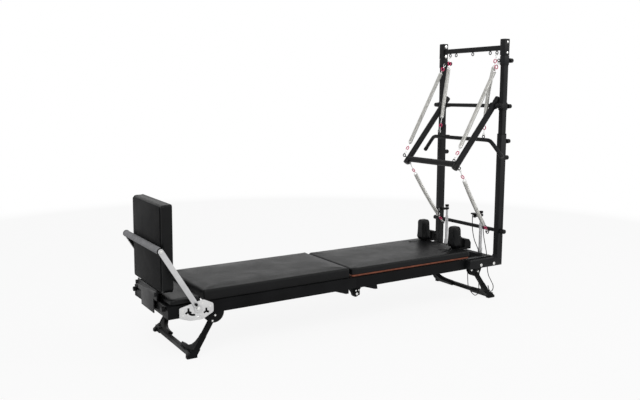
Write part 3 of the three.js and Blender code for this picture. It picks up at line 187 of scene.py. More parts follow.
def course(points, steps=10):
    """The smooth line through the points, a centripetal spline as the solid's own route is."""
    knots = [Vector(p) for p in points]
    knots = [2 * knots[0] - knots[1], *knots, 2 * knots[-1] - knots[-2]]
    line = []
    for a, b, c, d in zip(knots, knots[1:], knots[2:], knots[3:]):
        t1 = (b - a).length ** 0.5
        t2 = t1 + (c - b).length ** 0.5
        t3 = t2 + (d - c).length ** 0.5
        for i in range(steps):
            t = t1 + (t2 - t1) * i / steps
            ab = a.lerp(b, t / t1)
            bc = b.lerp(c, (t - t1) / (t2 - t1))
            cd = c.lerp(d, (t - t2) / (t3 - t2))
            abc = ab.lerp(bc, t / t2)
            bcd = bc.lerp(cd, (t - t1) / (t3 - t1))
            line.append(abc.lerp(bcd, (t - t1) / (t2 - t1)))
    line.append(knots[-2])
    return line


def bent_bar(points, radius, sides=16):
    """A round bar or line along the points, with flat ends, as a mesh with its length along U."""
    bpy.ops.curve.primitive_nurbs_path_add()
    obj = bpy.context.object
    curve = obj.data
    curve.splines.clear()
    spline = curve.splines.new("POLY")
    spline.points.add(len(points) - 1)
    for knot, point in zip(spline.points, points):
        knot.co = (*point, 1)
    curve.bevel_depth = mm(radius)
    curve.bevel_resolution = sides // 4 - 1
    curve.use_fill_caps = True
    obj.location = (0, 0, 0)
    only(obj)
    bpy.ops.object.convert(target="MESH")
    return bpy.context.object


def fit(obj, name, body, material, replaces=()):
    """Names a piece, puts its place into its mesh, gives it its finish, and makes it ride on a body when body is a
    name; any other body, such as the springs give, is not used.
    """
    only(obj)
    bpy.ops.object.transform_apply(location=True, rotation=True, scale=True)
    obj.name = obj.data.name = name
    obj.data.materials.clear()
    obj.data.materials.append(material)
    bpy.ops.object.shade_smooth_by_angle(angle=math.radians(38))
    if isinstance(body, str):
        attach(obj, body)
    else:
        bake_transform(obj)
    if replaces:
        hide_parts(*replaces)
    return obj


def bar(start, end, radius, tip=None, sides=32):
    """A straight round bar between two points, or a taper where tip gives its end's radius."""
    run = Vector(end) - Vector(start)
    bpy.ops.mesh.primitive_cone_add(
        vertices=sides, radius1=mm(radius), radius2=mm(radius if tip is None else tip), depth=run.length,
        location=(Vector(start) + Vector(end)) / 2, rotation=run.to_track_quat("Z", "Y").to_euler(),
    )
    return bpy.context.object


def rod(x, y, z, radius, tip=None, sides=32):
    """A bar along one axis, whose place is given as a pair, its start and its end."""
    start, end = ([value[i] if isinstance(value, tuple) else value for value in (x, y, z)] for i in (0, 1))
    return bar(at(*start), at(*end), radius, tip, sides)


def soften(obj, width, segments=2, angle=40):
    """Breaks a piece's sharp edges."""
    only(obj)
    bevel = obj.modifiers.new("Edges", "BEVEL")
    bevel.width = mm(width)
    bevel.segments = segments
    bevel.limit_method = "ANGLE"
    bevel.angle_limit = math.radians(angle)
    bpy.ops.object.modifier_apply(modifier="Edges")
    return obj


rope_yarn = finish(
    "Braided black polyester", braid, {"Pitch along": 90, "Strands round": 4}, (0.003, 0.003, 0.003),
    (0.012, 0.012, 0.0125), 0.0006, Specular_IOR_Level=0.2,
)
sleeve_rubber = grained(
    "Shrunk rubber sleeve", 500, 40, (0.35, 0.5), (0.005, 0.005, 0.005), (0.009, 0.009, 0.0095), 0.0001,
    Specular_IOR_Level=0.15,
)
rope_routes = {
    "rope_near": [
        (2434.5, -191, 618), (2434.5, -192, 560), (2436, -196, 512), (2448, -206, 440), (2470, -218, 380),
        (2482, -222, 345), (2484, -224, 318), (2484, -228, 262), (2482, -234, 220), (2472, -242, 160),
        (2466, -248, 110), (2462, -254, 68), (2448, -258, 36), (2424, -260, 27), (2396, -261, 42), (2368, -262, 72),
        (2344, -264, 112), (2334, -266, 170), (2330, -266, 255.4),
    ],
    "rope_near_rear": [
        (2587, -181, 480), (2587.9, -183, 516), (2582.7, -185, 533.7), (2569, -187, 539.8), (2555.3, -189, 533.7),
        (2550.1, -191, 516), (2552, -198, 450), (2560, -210, 380), (2566, -220, 318), (2562, -232, 256),
        (2556, -244, 205), (2562, -252, 160), (2586, -256, 116), (2608, -257, 76), (2606, -257, 44),
        (2588, -256, 32), (2570, -255, 48), (2558, -254, 80),
    ],
    "rope_far": [
        (2434.5, 191, 618), (2434.5, 192, 560), (2437, 196, 512), (2449, 202, 440), (2470, 208, 380),
        (2482, 212, 345), (2484, 214, 318), (2484, 218, 262), (2486, 222, 220), (2498, 226, 192), (2510, 228, 168),
        (2504, 230, 146), (2486, 230, 142), (2474, 228, 158),
    ],
}
for name, route in rope_routes.items():
    line = course([at(*p) for p in route])
    rope = fit(bent_bar(line, 3, 12), name + "_braid", "head_half", rope_yarn, [name])
    if name != "rope_near":
        tip = line[-1]
        back = (line[-4] - tip).normalized()
        sleeve = soften(bar(tip + back * mm(16), tip - back * mm(2), 3.9, 3.6, 16), 0.8)
        fit(sleeve, name + "_sleeve", "head_half", sleeve_rubber)

# Studio. A pale floor that fades into a white surround, one large soft lamp above the near side, and an even sky.
bpy.ops.mesh.primitive_circle_add(vertices=96, radius=14, fill_type="NGON", location=(0.3, 0.8, 0))
floor = bpy.context.object
floor.name = "studio_floor"


def seen_directly(tree):
    """1 on rays of the camera, of reflections and of clear bodies, which show the surround as white."""
    rays = add_node(tree, "LightPath", {}).outputs
    seen = sum_of(tree, "MAXIMUM", rays["Is Camera Ray"], rays["Is Glossy Ray"])
    return sum_of(tree, "MAXIMUM", seen, rays["Is Transmission Ray"])


pale = bpy.data.materials.new("Pale floor")
pale.use_nodes = True
tree = pale.node_tree
shader = tree.nodes["Principled BSDF"]
shader.inputs["Base Color"].default_value = (0.62, 0.62, 0.62, 1)
shader.inputs["Roughness"].default_value = 0.9
shader.inputs["Specular IOR Level"].default_value = 0.1
away = add_node(tree, "VectorMath", {0: add_node(tree, "TexCoord", {}).outputs["Object"]}, operation="LENGTH")
fade = add_node(tree, "MapRange", {"Value": away.outputs["Value"], "From Min": 1.6, "From Max": 5.5},
                interpolation_type="SMOOTHSTEP")
glow = add_node(tree, "Emission", {"Color": (1, 1, 1, 1), "Strength": 1})
white = sum_of(tree, "MAXIMUM", sum_of(tree, "MULTIPLY", seen_directly(tree), 0.9), fade.outputs["Result"])
blend = add_node(tree, "MixShader", {0: white, 1: shader.outputs[0], 2: glow.outputs[0]})
tree.links.new(blend.outputs[0], tree.nodes["Material Output"].inputs["Surface"])
floor.data.materials.append(pale)

world = bpy.data.worlds.new("Even sky")
bpy.context.scene.world = world
world.use_nodes = True
tree = world.node_tree
sky = add_node(tree, "Background", {"Color": (1, 1, 1, 1), "Strength": 0.6})
surround = add_node(tree, "Background", {"Color": (1, 1, 1, 1), "Strength": 1})
blend = add_node(tree, "MixShader", {0: seen_directly(tree), 1: sky.outputs[0], 2: surround.outputs[0]})
tree.links.new(blend.outputs[0], tree.nodes["World Output"].inputs["Surface"])
for place, aim, size, power in (
    ((-2.6, -3.2, 4.6), (0.2, 0, 0.3), 3.2, 125), ((3.6, -3.0, 3.2), (0.6, 0, 0.8), 2.4, 50),
):
    bpy.ops.object.light_add(
        type="AREA", location=place, rotation=(Vector(aim) - Vector(place)).to_track_quat("-Z", "Y").to_euler())
    bpy.context.object.data.shape = "DISK"
    bpy.context.object.data.size = size
    bpy.context.object.data.energy = power
bpy.context.scene.view_settings.view_transform = "Standard"

# Bed frame and legs. Folded steel channel, plate hangers and U-shaped leg frames, welded and powder-coated in a fine
# black texture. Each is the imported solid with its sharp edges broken. Moulded castings stand between the legs and
# their foot tubes, plastic covers close the fold, and the fasteners are zinc plated.
body_of = {
    node: body for body, nodes in frame["record"]["behaviour"]["bodies"].items() for node in nodes
}
# This black coat is painted a tenth lighter than its own colour: painted light on the tower, the bars and the truck,
# for light that the pale floor bounces up too weakly
lightened_powder_coat = grained(
    "Black powder coat, painted lighter", 900, 7, (0.4, 0.55), (0.0055, 0.0057, 0.0062), (0.0095, 0.0098, 0.0106), 0.00005,
    Specular_IOR_Level=0.13,
)
satin_black = grained(
    "Satin black coat", 900, 7, (0.4, 0.55), (0.003, 0.0031, 0.0034), (0.0055, 0.0057, 0.0062), 0.00005,
    Specular_IOR_Level=0.07,
)
zinc = grained(
    "Bright zinc plate", 1200, 60, (0.2, 0.36), (0.62, 0.62, 0.6), (0.8, 0.8, 0.79), 0.00002, Metallic=1,
)


def open_whole(obj):
    """Opens a mesh for editing, with all of it selected."""
    only(obj)
    bpy.ops.object.mode_set(mode="EDIT")
    bpy.ops.mesh.select_all(action="SELECT")


def merge_flat():
    """Merges doubled points in the open mesh and makes its flat faces whole."""
    bpy.ops.mesh.remove_doubles(threshold=0.00002)
    bpy.ops.mesh.dissolve_limited(angle_limit=math.radians(0.5))


def choose(obj, kind, wanted):
    """Selects the faces or edges of a mesh that wanted() accepts, and leaves the mesh in edit mode."""
    only(obj)
    bpy.ops.object.mode_set(mode="EDIT")
    bpy.ops.mesh.select_mode(type=kind)
    bpy.ops.mesh.select_all(action="DESELECT")
    bpy.ops.object.mode_set(mode="OBJECT")
    mesh = obj.data
    for part in mesh.polygons if kind == "FACE" else mesh.edges:
        part.select = wanted(part, mesh)
    bpy.ops.object.mode_set(mode="EDIT")


def round_edges(obj, width, segments, wanted):
    """Rounds the edges whose two ends wanted() accepts."""
    choose(obj, "EDGE", lambda edge, mesh: wanted(*(mesh.vertices[v].co for v in edge.vertices)))
    bpy.ops.mesh.bevel(offset=mm(width), segments=segments, affect="EDGES", clamp_overlap=True)
    bpy.ops.object.mode_set(mode="OBJECT")
    return obj


def refined(node, material, width=0.8, rounding=None):
    """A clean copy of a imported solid: flat faces made whole, long edges rounded and every other edge broken."""
    source = frame["nodes"][node]
    obj = source.copy()
    obj.data = source.data.copy()
    bpy.context.collection.objects.link(obj)
    obj.parent = None
    obj.matrix_world = Matrix.Identity(4)
    obj.hide_render = obj.hide_viewport = False
    only(obj)
    bpy.ops.mesh.customdata_custom_splitnormals_clear()
    open_whole(obj)
    merge_flat()
    bpy.ops.object.mode_set(mode="OBJECT")
    if rounding:
        round_edges(obj, *rounding)
    soften(obj, width)
    return fit(obj, node + "_finished", body_of[node], material, [node])


def joined(pieces):
    """Several meshes as one."""
    bpy.ops.object.select_all(action="DESELECT")
    for piece in pieces:
        piece.select_set(True)
    bpy.context.view_layer.objects.active = pieces[0]
    bpy.ops.object.transform_apply(location=True, rotation=True, scale=True)
    bpy.ops.object.join()
    return bpy.context.object


def block(x0, x1, y0, y1, z0, z1):
    """A plain block between six places."""
    low, high = at(x0, y0, z0), at(x1, y1, z1)
    bpy.ops.mesh.primitive_cube_add(size=1, location=(low + high) / 2)
    obj = bpy.context.object
    obj.scale = high - low
    bpy.ops.object.transform_apply(location=True, rotation=True, scale=True)
    return obj


def bolt(name, body, place, sign, washer=11.4, head=7.5, rise=4.4):
    """Fits a zinc screw with a button head and a hexagon socket, on a washer that stands out sideways from place."""
    def out(d):
        return place + Vector((0, sign, 0)) * mm(d)
    disc = soften(bar(place, out(rise), washer, sides=28), 0.8)
    cap = bar(out(rise - 0.2), out(rise + 2.6), head, head * 0.72, sides=24)
    socket = bar(out(rise + 2.6), out(rise + 2.7), head * 0.36, sides=6)
    fit(joined([disc, soften(cap, 0.7), socket]), name, body, zinc)


STOOD_UP = Matrix.Rotation(math.radians(90), 4, "X")


def plate(outline, thick):
    """A flat plate in the origin's XY plane, cut to an outline in millimetres, with its thickness along Z."""
    bpy.ops.curve.primitive_nurbs_path_add(location=(0, 0, 0))
    obj = bpy.context.object
    curve = obj.data
    curve.dimensions = "2D"
    curve.fill_mode = "BOTH"
    curve.splines.clear()
    spline = curve.splines.new("POLY")
    spline.use_cyclic_u = True
    spline.points.add(len(outline) - 1)
    for knot, (across, up) in zip(spline.points, outline):
        knot.co = (mm(across), mm(up), 0, 1)
    curve.extrude = mm(thick / 2)
    only(obj)
    bpy.ops.object.convert(target="MESH")
    open_whole(bpy.context.object)
    merge_flat()
    bpy.ops.mesh.normals_make_consistent(inside=False)
    bpy.ops.object.mode_set(mode="OBJECT")
    return bpy.context.object


def upright_edge(a, b):
    """Whether an edge between two places runs upwards, as the edges through a plate's thickness do."""
    return abs(a.z - b.z) > mm(2)


def rounded_block(x0, x1, y, half, z0, z1, corner=4, segments=4):
    """A block of half its width to each side of y, with its upright edges rounded."""
    return round_edges(block(x0, x1, y - half, y + half, z0, z1), corner, segments, upright_edge)


refined("foot_frame", satin_black, 0.9)
head_rails = refined("head_frame", satin_black, 0.9)
# The wedges under the head half are deepest at their end away from the fold
deep_from, deep_to = at(1350, 0, 229), at(1392, 0, 229)
for vertex in head_rails.data.vertices:
    if vertex.co.z < deep_from.z and deep_from.x < vertex.co.x < deep_to.x:
        vertex.co.x += mm(95)
for node in ("foot_leg_frame", "head_leg_frame"):
    refined(node, satin_black, 1.2, rounding=(2.4, 3, lambda a, b: (a - b).length > 0.09))
corner_casting = [(304.5, 24), (304.5, 150), (273, 150), (270, 122), (257, 92), (235, 68), (206, 54), (170, 48),
                  (108, 46), (108, 13), (294, 13), (302, 17)]
for end, foot_x, pivot_x, bolts in (
    ("foot", 140, 288, ((288, 239), (270, 208))), ("head", 2548, 2366, ((2332, 243), (2397, 226))),
):
    leg_way = (at(pivot_x, 0, 239) - at(foot_x, 0, 0)).normalized()
    crossways = Vector((0, 1, 0))
    stance = Matrix((crossways, leg_way, crossways.cross(leg_way))).transposed().to_4x4()
    for side, sign in NEAR_AND_FAR:
        casting = plate([(sign * across, up) for across, up in corner_casting], 31)
        soften(casting, 3, 3, 25)
        casting.matrix_world = Matrix.Translation(at(foot_x, 0, 0)) @ stance
        fit(casting, f"{end}_leg_casting_{side}", body_of[f"{end}_leg_frame"], satin_black)
        for index, (x, z) in enumerate(bolts):
            bolt(f"{end}_hanger_bolt_{side}_{index}", f"{end}_half", at(x, sign * 305, z), sign, 8, 6, 2.4)
for side, sign in NEAR_AND_FAR:
    cover = plate([(1283, 206), (1325, 206), (1325, 250), (1283, 250)], 4)
    round_edges(cover, 7, 4, upright_edge)
    cover.matrix_world = Matrix.Translation(at(0, sign * 307.2, 0)) @ STOOD_UP
    fit(soften(cover, 0.8), f"fold_cover_{side}", "foot_half", satin_black)
    for index, (x, z, washer) in enumerate(((1301, 218, 9), (1293, 241, 5.5), (1316, 241, 5.5))):
        bolt(f"fold_bolt_{side}_{index}", "foot_half", at(x, sign * 309, z), sign, washer, washer * 0.66, 2)

# Footbar. Two flat arms and a cross tube in silver paint, a foam grip over the tube, and the pale gear plates, cut
# with notches and curved slots, that the arms turn on. A sprung pin with a round knob locks the near arm.
silver_paint = grained(
    "Silver paint", 1500, 9, (0.32, 0.42), (0.5, 0.5, 0.505), (0.6, 0.6, 0.605), 0.00002, Metallic=0.35,
    Coat_Weight=0.15,
)
pale_paint = grained(
    "Pale grey paint", 1500, 9, (0.4, 0.5), (0.6, 0.6, 0.6), (0.68, 0.68, 0.68), 0.00002, Metallic=0.2,
)
foam_skin = grained(
    "Closed-cell foam", 420, 25, (0.82, 0.95), (0.145, 0.145, 0.152), (0.205, 0.206, 0.214), 0.0005,
)
black_plastic = grained(
    "Moulded black plastic", 800, 20, (0.34, 0.48), (0.0035, 0.0035, 0.0037), (0.006, 0.006, 0.0064), 0.00006,
    Specular_IOR_Level=0.1,
)
pivot, grip = (176, 304), (-36, 661)
lean = math.atan2(grip[1] - pivot[1], grip[0] - pivot[0])
arm_length = math.dist(pivot, grip)


def notch(x, z, reach, width):
    """The outline of a notch with three arms."""
    points = []
    for turn in (90, 210, 330):
        way = Vector((math.cos(math.radians(turn)), math.sin(math.radians(turn))))
        side_way = Vector((-way.y, way.x))
        corner = way * (width / math.sqrt(12)) - side_way * (width / 2)
        for off in (corner, way * reach - side_way * (width / 2), way * reach + side_way * (width / 2)):
            points.append((x + off.x, z + off.y))
    return points


def arc_slot(x, z, radius, width, start, stop):
    """The outline of a curved slot about a centre."""
    angles = np.radians(np.linspace(start, stop, 12))
    return [(x + r * math.cos(a), z + r * math.sin(a))
            for r, run in ((radius + width / 2, angles), (radius - width / 2, angles[::-1])) for a in run]


def cut(obj, outlines, thick):
    """Cuts outlines through a plate."""
    for outline in outlines:
        cutter = plate(outline, thick)
        only(obj)
        hole = obj.modifiers.new("Hole", "BOOLEAN")
        hole.operation = "DIFFERENCE"
        hole.object = cutter
        bpy.ops.object.modifier_apply(modifier="Hole")
        only(cutter)
        bpy.ops.object.delete()


arms = []
for side, sign in NEAR_AND_FAR:
    gear = plate([(64, 256), (127, 234), (204, 232), (274, 267), (274, 319), (212, 350), (64, 316)], 6)
    round_edges(gear, 9, 4, upright_edge)
    slots = (notch(119, 290, 21, 13), arc_slot(152, 302, 36, 13, 200, 282), notch(229, 278, 19, 13),
             arc_slot(168, 296, 46, 10, 270, 292))
    cut(gear, slots, 20)
    gear.matrix_world = Matrix.Translation(at(0, sign * 314, 0)) @ STOOD_UP
    fit(soften(gear, 0.6), f"gear_plate_{side}", "foot_half", pale_paint, [f"footbar_gear_{side}"])
    hub = rod(pivot[0], (sign * 319.4, sign * 327), pivot[1], 24, sides=56)
    arms.append(soften(hub, 1.2, 3))
    bpy.ops.mesh.primitive_cylinder_add(vertices=48, radius=mm(16), depth=mm(8), location=(0, 0, 0),
                                        rotation=(math.radians(90), 0, 0))
    arm = bpy.context.object
    bpy.ops.object.transform_apply(rotation=True)
    for vertex in arm.data.vertices:
        if vertex.co.x > mm(0.01):
            vertex.co.x += mm(arm_length)
    arm.rotation_euler = (0, -lean, 0)
    arm.location = at(pivot[0], sign * 323, pivot[1])
    bpy.ops.object.transform_apply(location=True, rotation=True)
    arms.append(soften(arm, 1.2, 3))
    for x, z, washer, name in ((*pivot, 11.4, "pivot"), (*grip, 10, "grip")):
        bolt(f"footbar_{name}_screw_{side}", "footbar", at(x, sign * 327, z), sign, washer, washer * 0.62, 3.4)
        arms.append(rod(x, (sign * 300, sign * 320), z, 6, sides=24))
    # The screws are flush, so that the arms pass over them
    for index, (x, z) in enumerate(((84, 300), (84, 270), (252, 305), (205, 330))):
        flush = soften(rod(x, (sign * 314, sign * 317.5), z, 7, 6.4, 28), 0.4)
        socket = rod(x, (sign * 317.4, sign * 317.6), z, 2.4, sides=6)
        fit(joined([flush, socket]), f"gear_screw_{side}_{index}", "foot_half", zinc)
    # A thin black strip on each arm's inner face is painted shade: it darkens the far arm's silver inner face, which
    # lies in shade
    strip = block(FOOT_END - 12, FOOT_END + 12, -0.5, 0.5, 30, arm_length - 14)
    strip.rotation_euler = (0, math.radians(90) - lean, 0)
    strip.location = at(pivot[0], sign * 318.5, pivot[1])
    fit(soften(strip, 0.3), f"footbar_inner_painted_shade_strip_{side}", "footbar", black_plastic)
    end_disc = rod(grip[0], (sign * 316.6, sign * 319.2), grip[1], 21.5, sides=48)
    fit(soften(end_disc, 0.6), f"footbar_end_disc_{side}", "footbar", black_plastic)
arms.append(rod(grip[0], (-320, 320), grip[1], 12, sides=40))
fit(joined(arms), "footbar_bars", "footbar", silver_paint, ["footbar_frame"])
foam = rod(grip[0], (-317, 317), grip[1], 20, sides=56)
soften(foam, 4, 4)
fit(foam, "footbar_foam", "footbar", foam_skin, ["footbar_grip"])
pin_x, pin_z = pivot[0] + 30 * math.cos(lean), pivot[1] + 30 * math.sin(lean)
pull = joined([
    rod(pin_x, (-313, -330), pin_z, 3, sides=20),
    soften(rod(pin_x, (-327.6, -342), pin_z, 9, 8, 32), 2, 4),
])
fit(pull, "footbar_pull", "footbar_pin", black_plastic, ["footbar_pin"])

# Pads. Plywood or foam cores wrapped in black vinyl that is drawn round and stapled under their lower face. Each is a
# block with rounded corners, whose cover a short cloth simulation fills out while its lower face is held.
leather, given, made = effect(
    "Vinyl grain",
    [("Cell scale", "Float", 650), ("Crease scale", "Float", 14), ("Least roughness", "Float", 0.38),
     ("Most roughness", "Float", 0.5), ("Crease depth", "Float", 0.25)],
)
tree = made[0].node.id_data
place = add_node(tree, "TexCoord", {}).outputs["Object"]
cells = add_node(tree, "TexVoronoi", {"Vector": place, "Scale": given["Cell scale"]}, feature="SMOOTH_F1")
patch = add_node(tree, "TexNoise", {"Vector": place, "Scale": given["Crease scale"], "Detail": 4,
                                    "Distortion": 0.6}).outputs[0]
tone = add_node(tree, "MapRange", {"Value": patch, "From Min": 0.3, "From Max": 0.7}).outputs["Result"]
tree.links.new(tone, made["Tone"])
tree.links.new(spread(tree, tone, given["Least roughness"], given["Most roughness"]), made["Roughness"])
# The creases follow the tone, so their low ground is darker: a random mottle that is also painted shade in the
# creases
creased = sum_of(tree, "MULTIPLY", tone, given["Crease depth"])
tree.links.new(sum_of(tree, "ADD", cells.outputs["Distance"], creased), made["Height"])
vinyl = finish(
    "Black vinyl", leather, {"Cell scale": 650, "Crease scale": 7, "Least roughness": 0.36, "Most roughness": 0.46,
                             "Crease depth": 0.6}, (0.003, 0.0032, 0.0034), (0.005, 0.0052, 0.0056), 0.0004,
    Specular_IOR_Level=0.14,
)
matt_vinyl = finish(
    "Matt black vinyl", leather, {"Cell scale": 900, "Crease scale": 9, "Least roughness": 0.6,
                                  "Most roughness": 0.7, "Crease depth": 0.4}, (0.0025, 0.0025, 0.0028),
    (0.0042, 0.0042, 0.0047), 0.0002, Specular_IOR_Level=0.08,
)


def sewn_pad(lows, highs, corner, thin, ease=9, voxel=9, swell=3, top_corner=None):
    """A wrapped pad between two corners. thin is the axis of its thickness, and its crown faces up that axis.

    thin: 2 for a pad that lies on the bed, 0 for one that stands with its crown towards the foot end.
    """
    inset = swell * 0.6
    spans = [(low, high) for low, high in zip(lows, highs)]
    pad = block(*(value for i, (low, high) in enumerate(spans) for value in (
        low + (0 if (i == thin == 2) else inset), high - (0 if (i == thin == 0) else inset))))
    low, high = at(*lows), at(*highs)
    crown = high[2] - mm(inset) if thin == 2 else low[0] + mm(inset)
    base = low[2] if thin == 2 else high[0]

    def along_thickness(a, b):
        return abs(a[thin] - b[thin]) > (high - low)[thin] * 0.5

    def level_with(place):
        return lambda a, b: max(abs(a[thin] - place), abs(b[thin] - place)) < mm(0.5)

    if top_corner:
        round_edges(pad, top_corner, 8, lambda a, b: along_thickness(a, b) and a.z + b.z > low.z + high.z)
        round_edges(pad, corner, 8, lambda a, b: along_thickness(a, b) and a.z + b.z < low.z + high.z)
    else:
        round_edges(pad, corner, 8, along_thickness)
    round_edges(pad, ease, 4, level_with(crown))
    round_edges(pad, ease * 0.4, 2, level_with(base))
    pad.data.remesh_voxel_size = mm(voxel)
    only(pad)
    bpy.ops.object.voxel_remesh()
    shape = np.array([vertex.co for vertex in pad.data.vertices])
    depth = np.abs(shape[:, thin] - base)
    held = pad.vertex_groups.new(name="held")
    held.add([int(i) for i in np.flatnonzero(depth < mm(voxel * 0.9))], 1, "REPLACE")
    cloth = pad.modifiers.new("Cover", "CLOTH")
    cloth.settings.use_pressure = True
    cloth.settings.uniform_pressure_force = 4
    cloth.settings.vertex_group_mass = "held"
    cloth.settings.effector_weights.gravity = 0
    cloth.settings.quality = 4
    for number in range(1, 21):
        bpy.context.scene.frame_set(number)
    only(pad)
    bpy.ops.object.modifier_apply(modifier="Cover")
    bpy.context.scene.frame_set(1)
    moved = np.array([vertex.co for vertex in pad.data.vertices]) - shape
    far = np.linalg.norm(moved, axis=1, keepdims=True)
    shape = shape + moved * np.minimum(1, mm(swell) / np.maximum(far, 1e-9))
    pad.data.vertices.foreach_set("co", shape.astype(np.float32).ravel())
    relax = pad.modifiers.new("Relax", "SMOOTH")
    relax.factor = 0.5
    relax.iterations = 3
    bpy.ops.object.modifier_apply(modifier="Relax")
    return pad


def dress_pad(pad, name, node, body, material=vinyl):
    fit(pad, name, body, material, [node])
    bpy.ops.object.shade_smooth()


dress_pad(sewn_pad((20, -295, 329.3), (213, 295, 363.3), 26, 2, voxel=6), "foot_platform_cushion",
          "foot_platform_pad", "foot_half")
dress_pad(sewn_pad((221, -295, 329.3), (1264, 295, 398), 12, 2, ease=19, swell=5), "mat_cushion", "mat_pad", "mat")

# Jump board. A padded board with a flat facing let into its outer side, on a folded steel bracket that hooks over
# the foot beam between two clamping knobs. A flat apron plate closes the gap below the board.
def lean_back(obj):
    """Leans a piece of the jump board back towards the bed, 7 mm at its top."""
    for vertex in obj.data.vertices:
        vertex.co.x += mm(7) * (vertex.co.z - mm(392)) / mm(517)
    return obj


board = sewn_pad((-13, -265, 392), (55, 265, 915), 38, 0, voxel=7, ease=14, top_corner=16)
dress_pad(lean_back(board), "jump_board_cushion", "jump_board_pad", "jump_board")
facing = block(-16, -11, -241, 247, 407, 900)
round_edges(facing, 14, 8, lambda a, b: abs(a.x - b.x) > 0.001)
soften(facing, 1.2, 2)
fit(lean_back(facing), "jump_board_facing", "jump_board", matt_vinyl)
grey_coat = grained(
    "Grey powder coat", 800, 8, (0.4, 0.52), (0.0105, 0.0105, 0.0113), (0.015, 0.015, 0.016), 0.00005,
    Specular_IOR_Level=0.16,
)
refined("jump_board_bracket", grey_coat, 0.8)
apron = soften(block(-19, -14.5, -172, 172, 338, 404), 0.8)  # stands against the board's lower edge
fit(apron, "jump_board_apron", "jump_board", grey_coat)
for side, sign in NEAR_AND_FAR:
    clamp = joined([
        soften(rod((-1, -24), sign * 259, 311, 15, sides=40), 3, 4),
        rod((-2, 24), sign * 259, 311, 5, sides=20),
    ])
    fit(clamp, f"clamp_knob_{side}", f"end_knob_{side}", black_plastic, [f"end_knob_{side}"])

# Carriage. A plywood board with a vinyl pad stapled to it, on two steel bearers with four wheels, and the bed's own
# springs parked below it. The pad's seam marks off the headrest, and two plates take the shoulder rests' pegs.
veneer = finish(
    "Plywood edge", grain, {"Fine scale": 260, "Patch scale": 30, "Stretch": (0.12, 0.12, 2.4),
                            "Least roughness": 0.5, "Most roughness": 0.62}, (0.16, 0.052, 0.031),
    (0.25, 0.084, 0.05), 0.0002, Specular_IOR_Level=0.2,
)
board = rounded_block(1281, 2318, 0, 289, 332.5, 343, 14)
fit(board, "carriage_board_veneered", "carriage", veneer, ["carriage_board"])
pad = sewn_pad((1271, -295, 341.5), (2340, 295, 391), 28, 2, ease=12, swell=4)
only(pad)
finer = pad.modifiers.new("Finer", "SUBSURF")
finer.levels = finer.render_levels = 1
bpy.ops.object.modifier_apply(modifier="Finer")
headrest, headrest_radius = at(2103, 0, 0), mm(229)
for vertex in pad.data.vertices:
    if vertex.co.z > mm(383) and vertex.co.x > headrest.x:
        off = math.dist(vertex.co[:2], headrest[:2]) - headrest_radius
        seam, swelling = math.exp(-((off / mm(3.4)) ** 2)), math.exp(-(((off + mm(11)) / mm(7)) ** 2))
        vertex.co.z -= mm(4) * seam - mm(1.6) * swelling
dress_pad(pad, "carriage_cushion", "carriage_pad", "carriage")
for side, sign in NEAR_AND_FAR:
    peg_plate = soften(rounded_block(FOOT_END - 33, FOOT_END + 33, 0, 13, 386, 395.4, 12.9, 6), 1, 2)
    wells = [rod(FOOT_END + x, 0, (395.3, 395.8), 8.5, sides=32) for x in (-16.5, 16.5)]
    for piece, name, material in ((peg_plate, "plate", black_plastic), (joined(wells), "wells", sleeve_rubber)):
        piece.rotation_euler = (0, 0, math.radians(-37))
        piece.location = at(2161, sign * 172, 0)
        fit(piece, f"peg_{name}_{side}", "carriage", material)
refined("carriage_truck", lightened_powder_coat, 0.8)
for side, sign in NEAR_AND_FAR:
    for end, x in (("foot", 1421), ("head", 2190)):
        rim = soften(rod(x, (sign * 282.8, sign * 299.8), 284.3, 24, sides=56), 2, 3)
        hub = soften(rod(x, (sign * 282.3, sign * 300.6), 284.3, 10, sides=32), 0.8)
        fit(joined([rim, hub]), f"wheel_{side}_{end}", f"carriage_wheel_{side}_{end}", black_plastic,
            [f"carriage_wheel_{side}_{end}"])

# Springs. Close-wound nickel-plated wire with a swivelled snap link at each end: a steel eye on a shank, a red lock
# ring, and a cone that the wire's end is hooked into.
nickel = grained(
    "Nickel-plated wire", 1500, 30, (0.42, 0.5), (0.52, 0.515, 0.49), (0.64, 0.635, 0.61), 0.00002, Metallic=0.8,
)
red_anodised = grained(
    "Red lock ring", 900, 80, (0.3, 0.4), (0.48, 0.014, 0.09), (0.62, 0.03, 0.14), 0.00002, Metallic=0.2,
)


EYE_RADIUS, EYE_WIRE = 11, 3.3
BEARING = 9.8  # from an eye's middle to where a link's wire bears on it
sleeve_eye, arm_front_eye = (2549, 290, 1770), (2150.7, 282, 1059.9)
arm_rear_eye, low_eye = (2204, 282, 1001), (2537, 250, 499)
top_eye, roll_eye = (2569, 250, 1828.5), (2469, 243, 1220)


def mirrored(place, sign):
    """A place of the far side, as three numbers, on the side that sign names."""
    x, y, z = place
    return x, sign * y, z


def ring(place, radius, wire, normal="Z", sides=32, wires=10):
    """A closed wire ring."""
    turn = {"X": (0, math.radians(90), 0), "Y": (math.radians(90), 0, 0), "Z": (0, 0, 0)}[normal]
    bpy.ops.mesh.primitive_torus_add(location=place, rotation=turn, major_radius=mm(radius), minor_radius=mm(wire),
                                     major_segments=sides, minor_segments=wires)
    return bpy.context.object


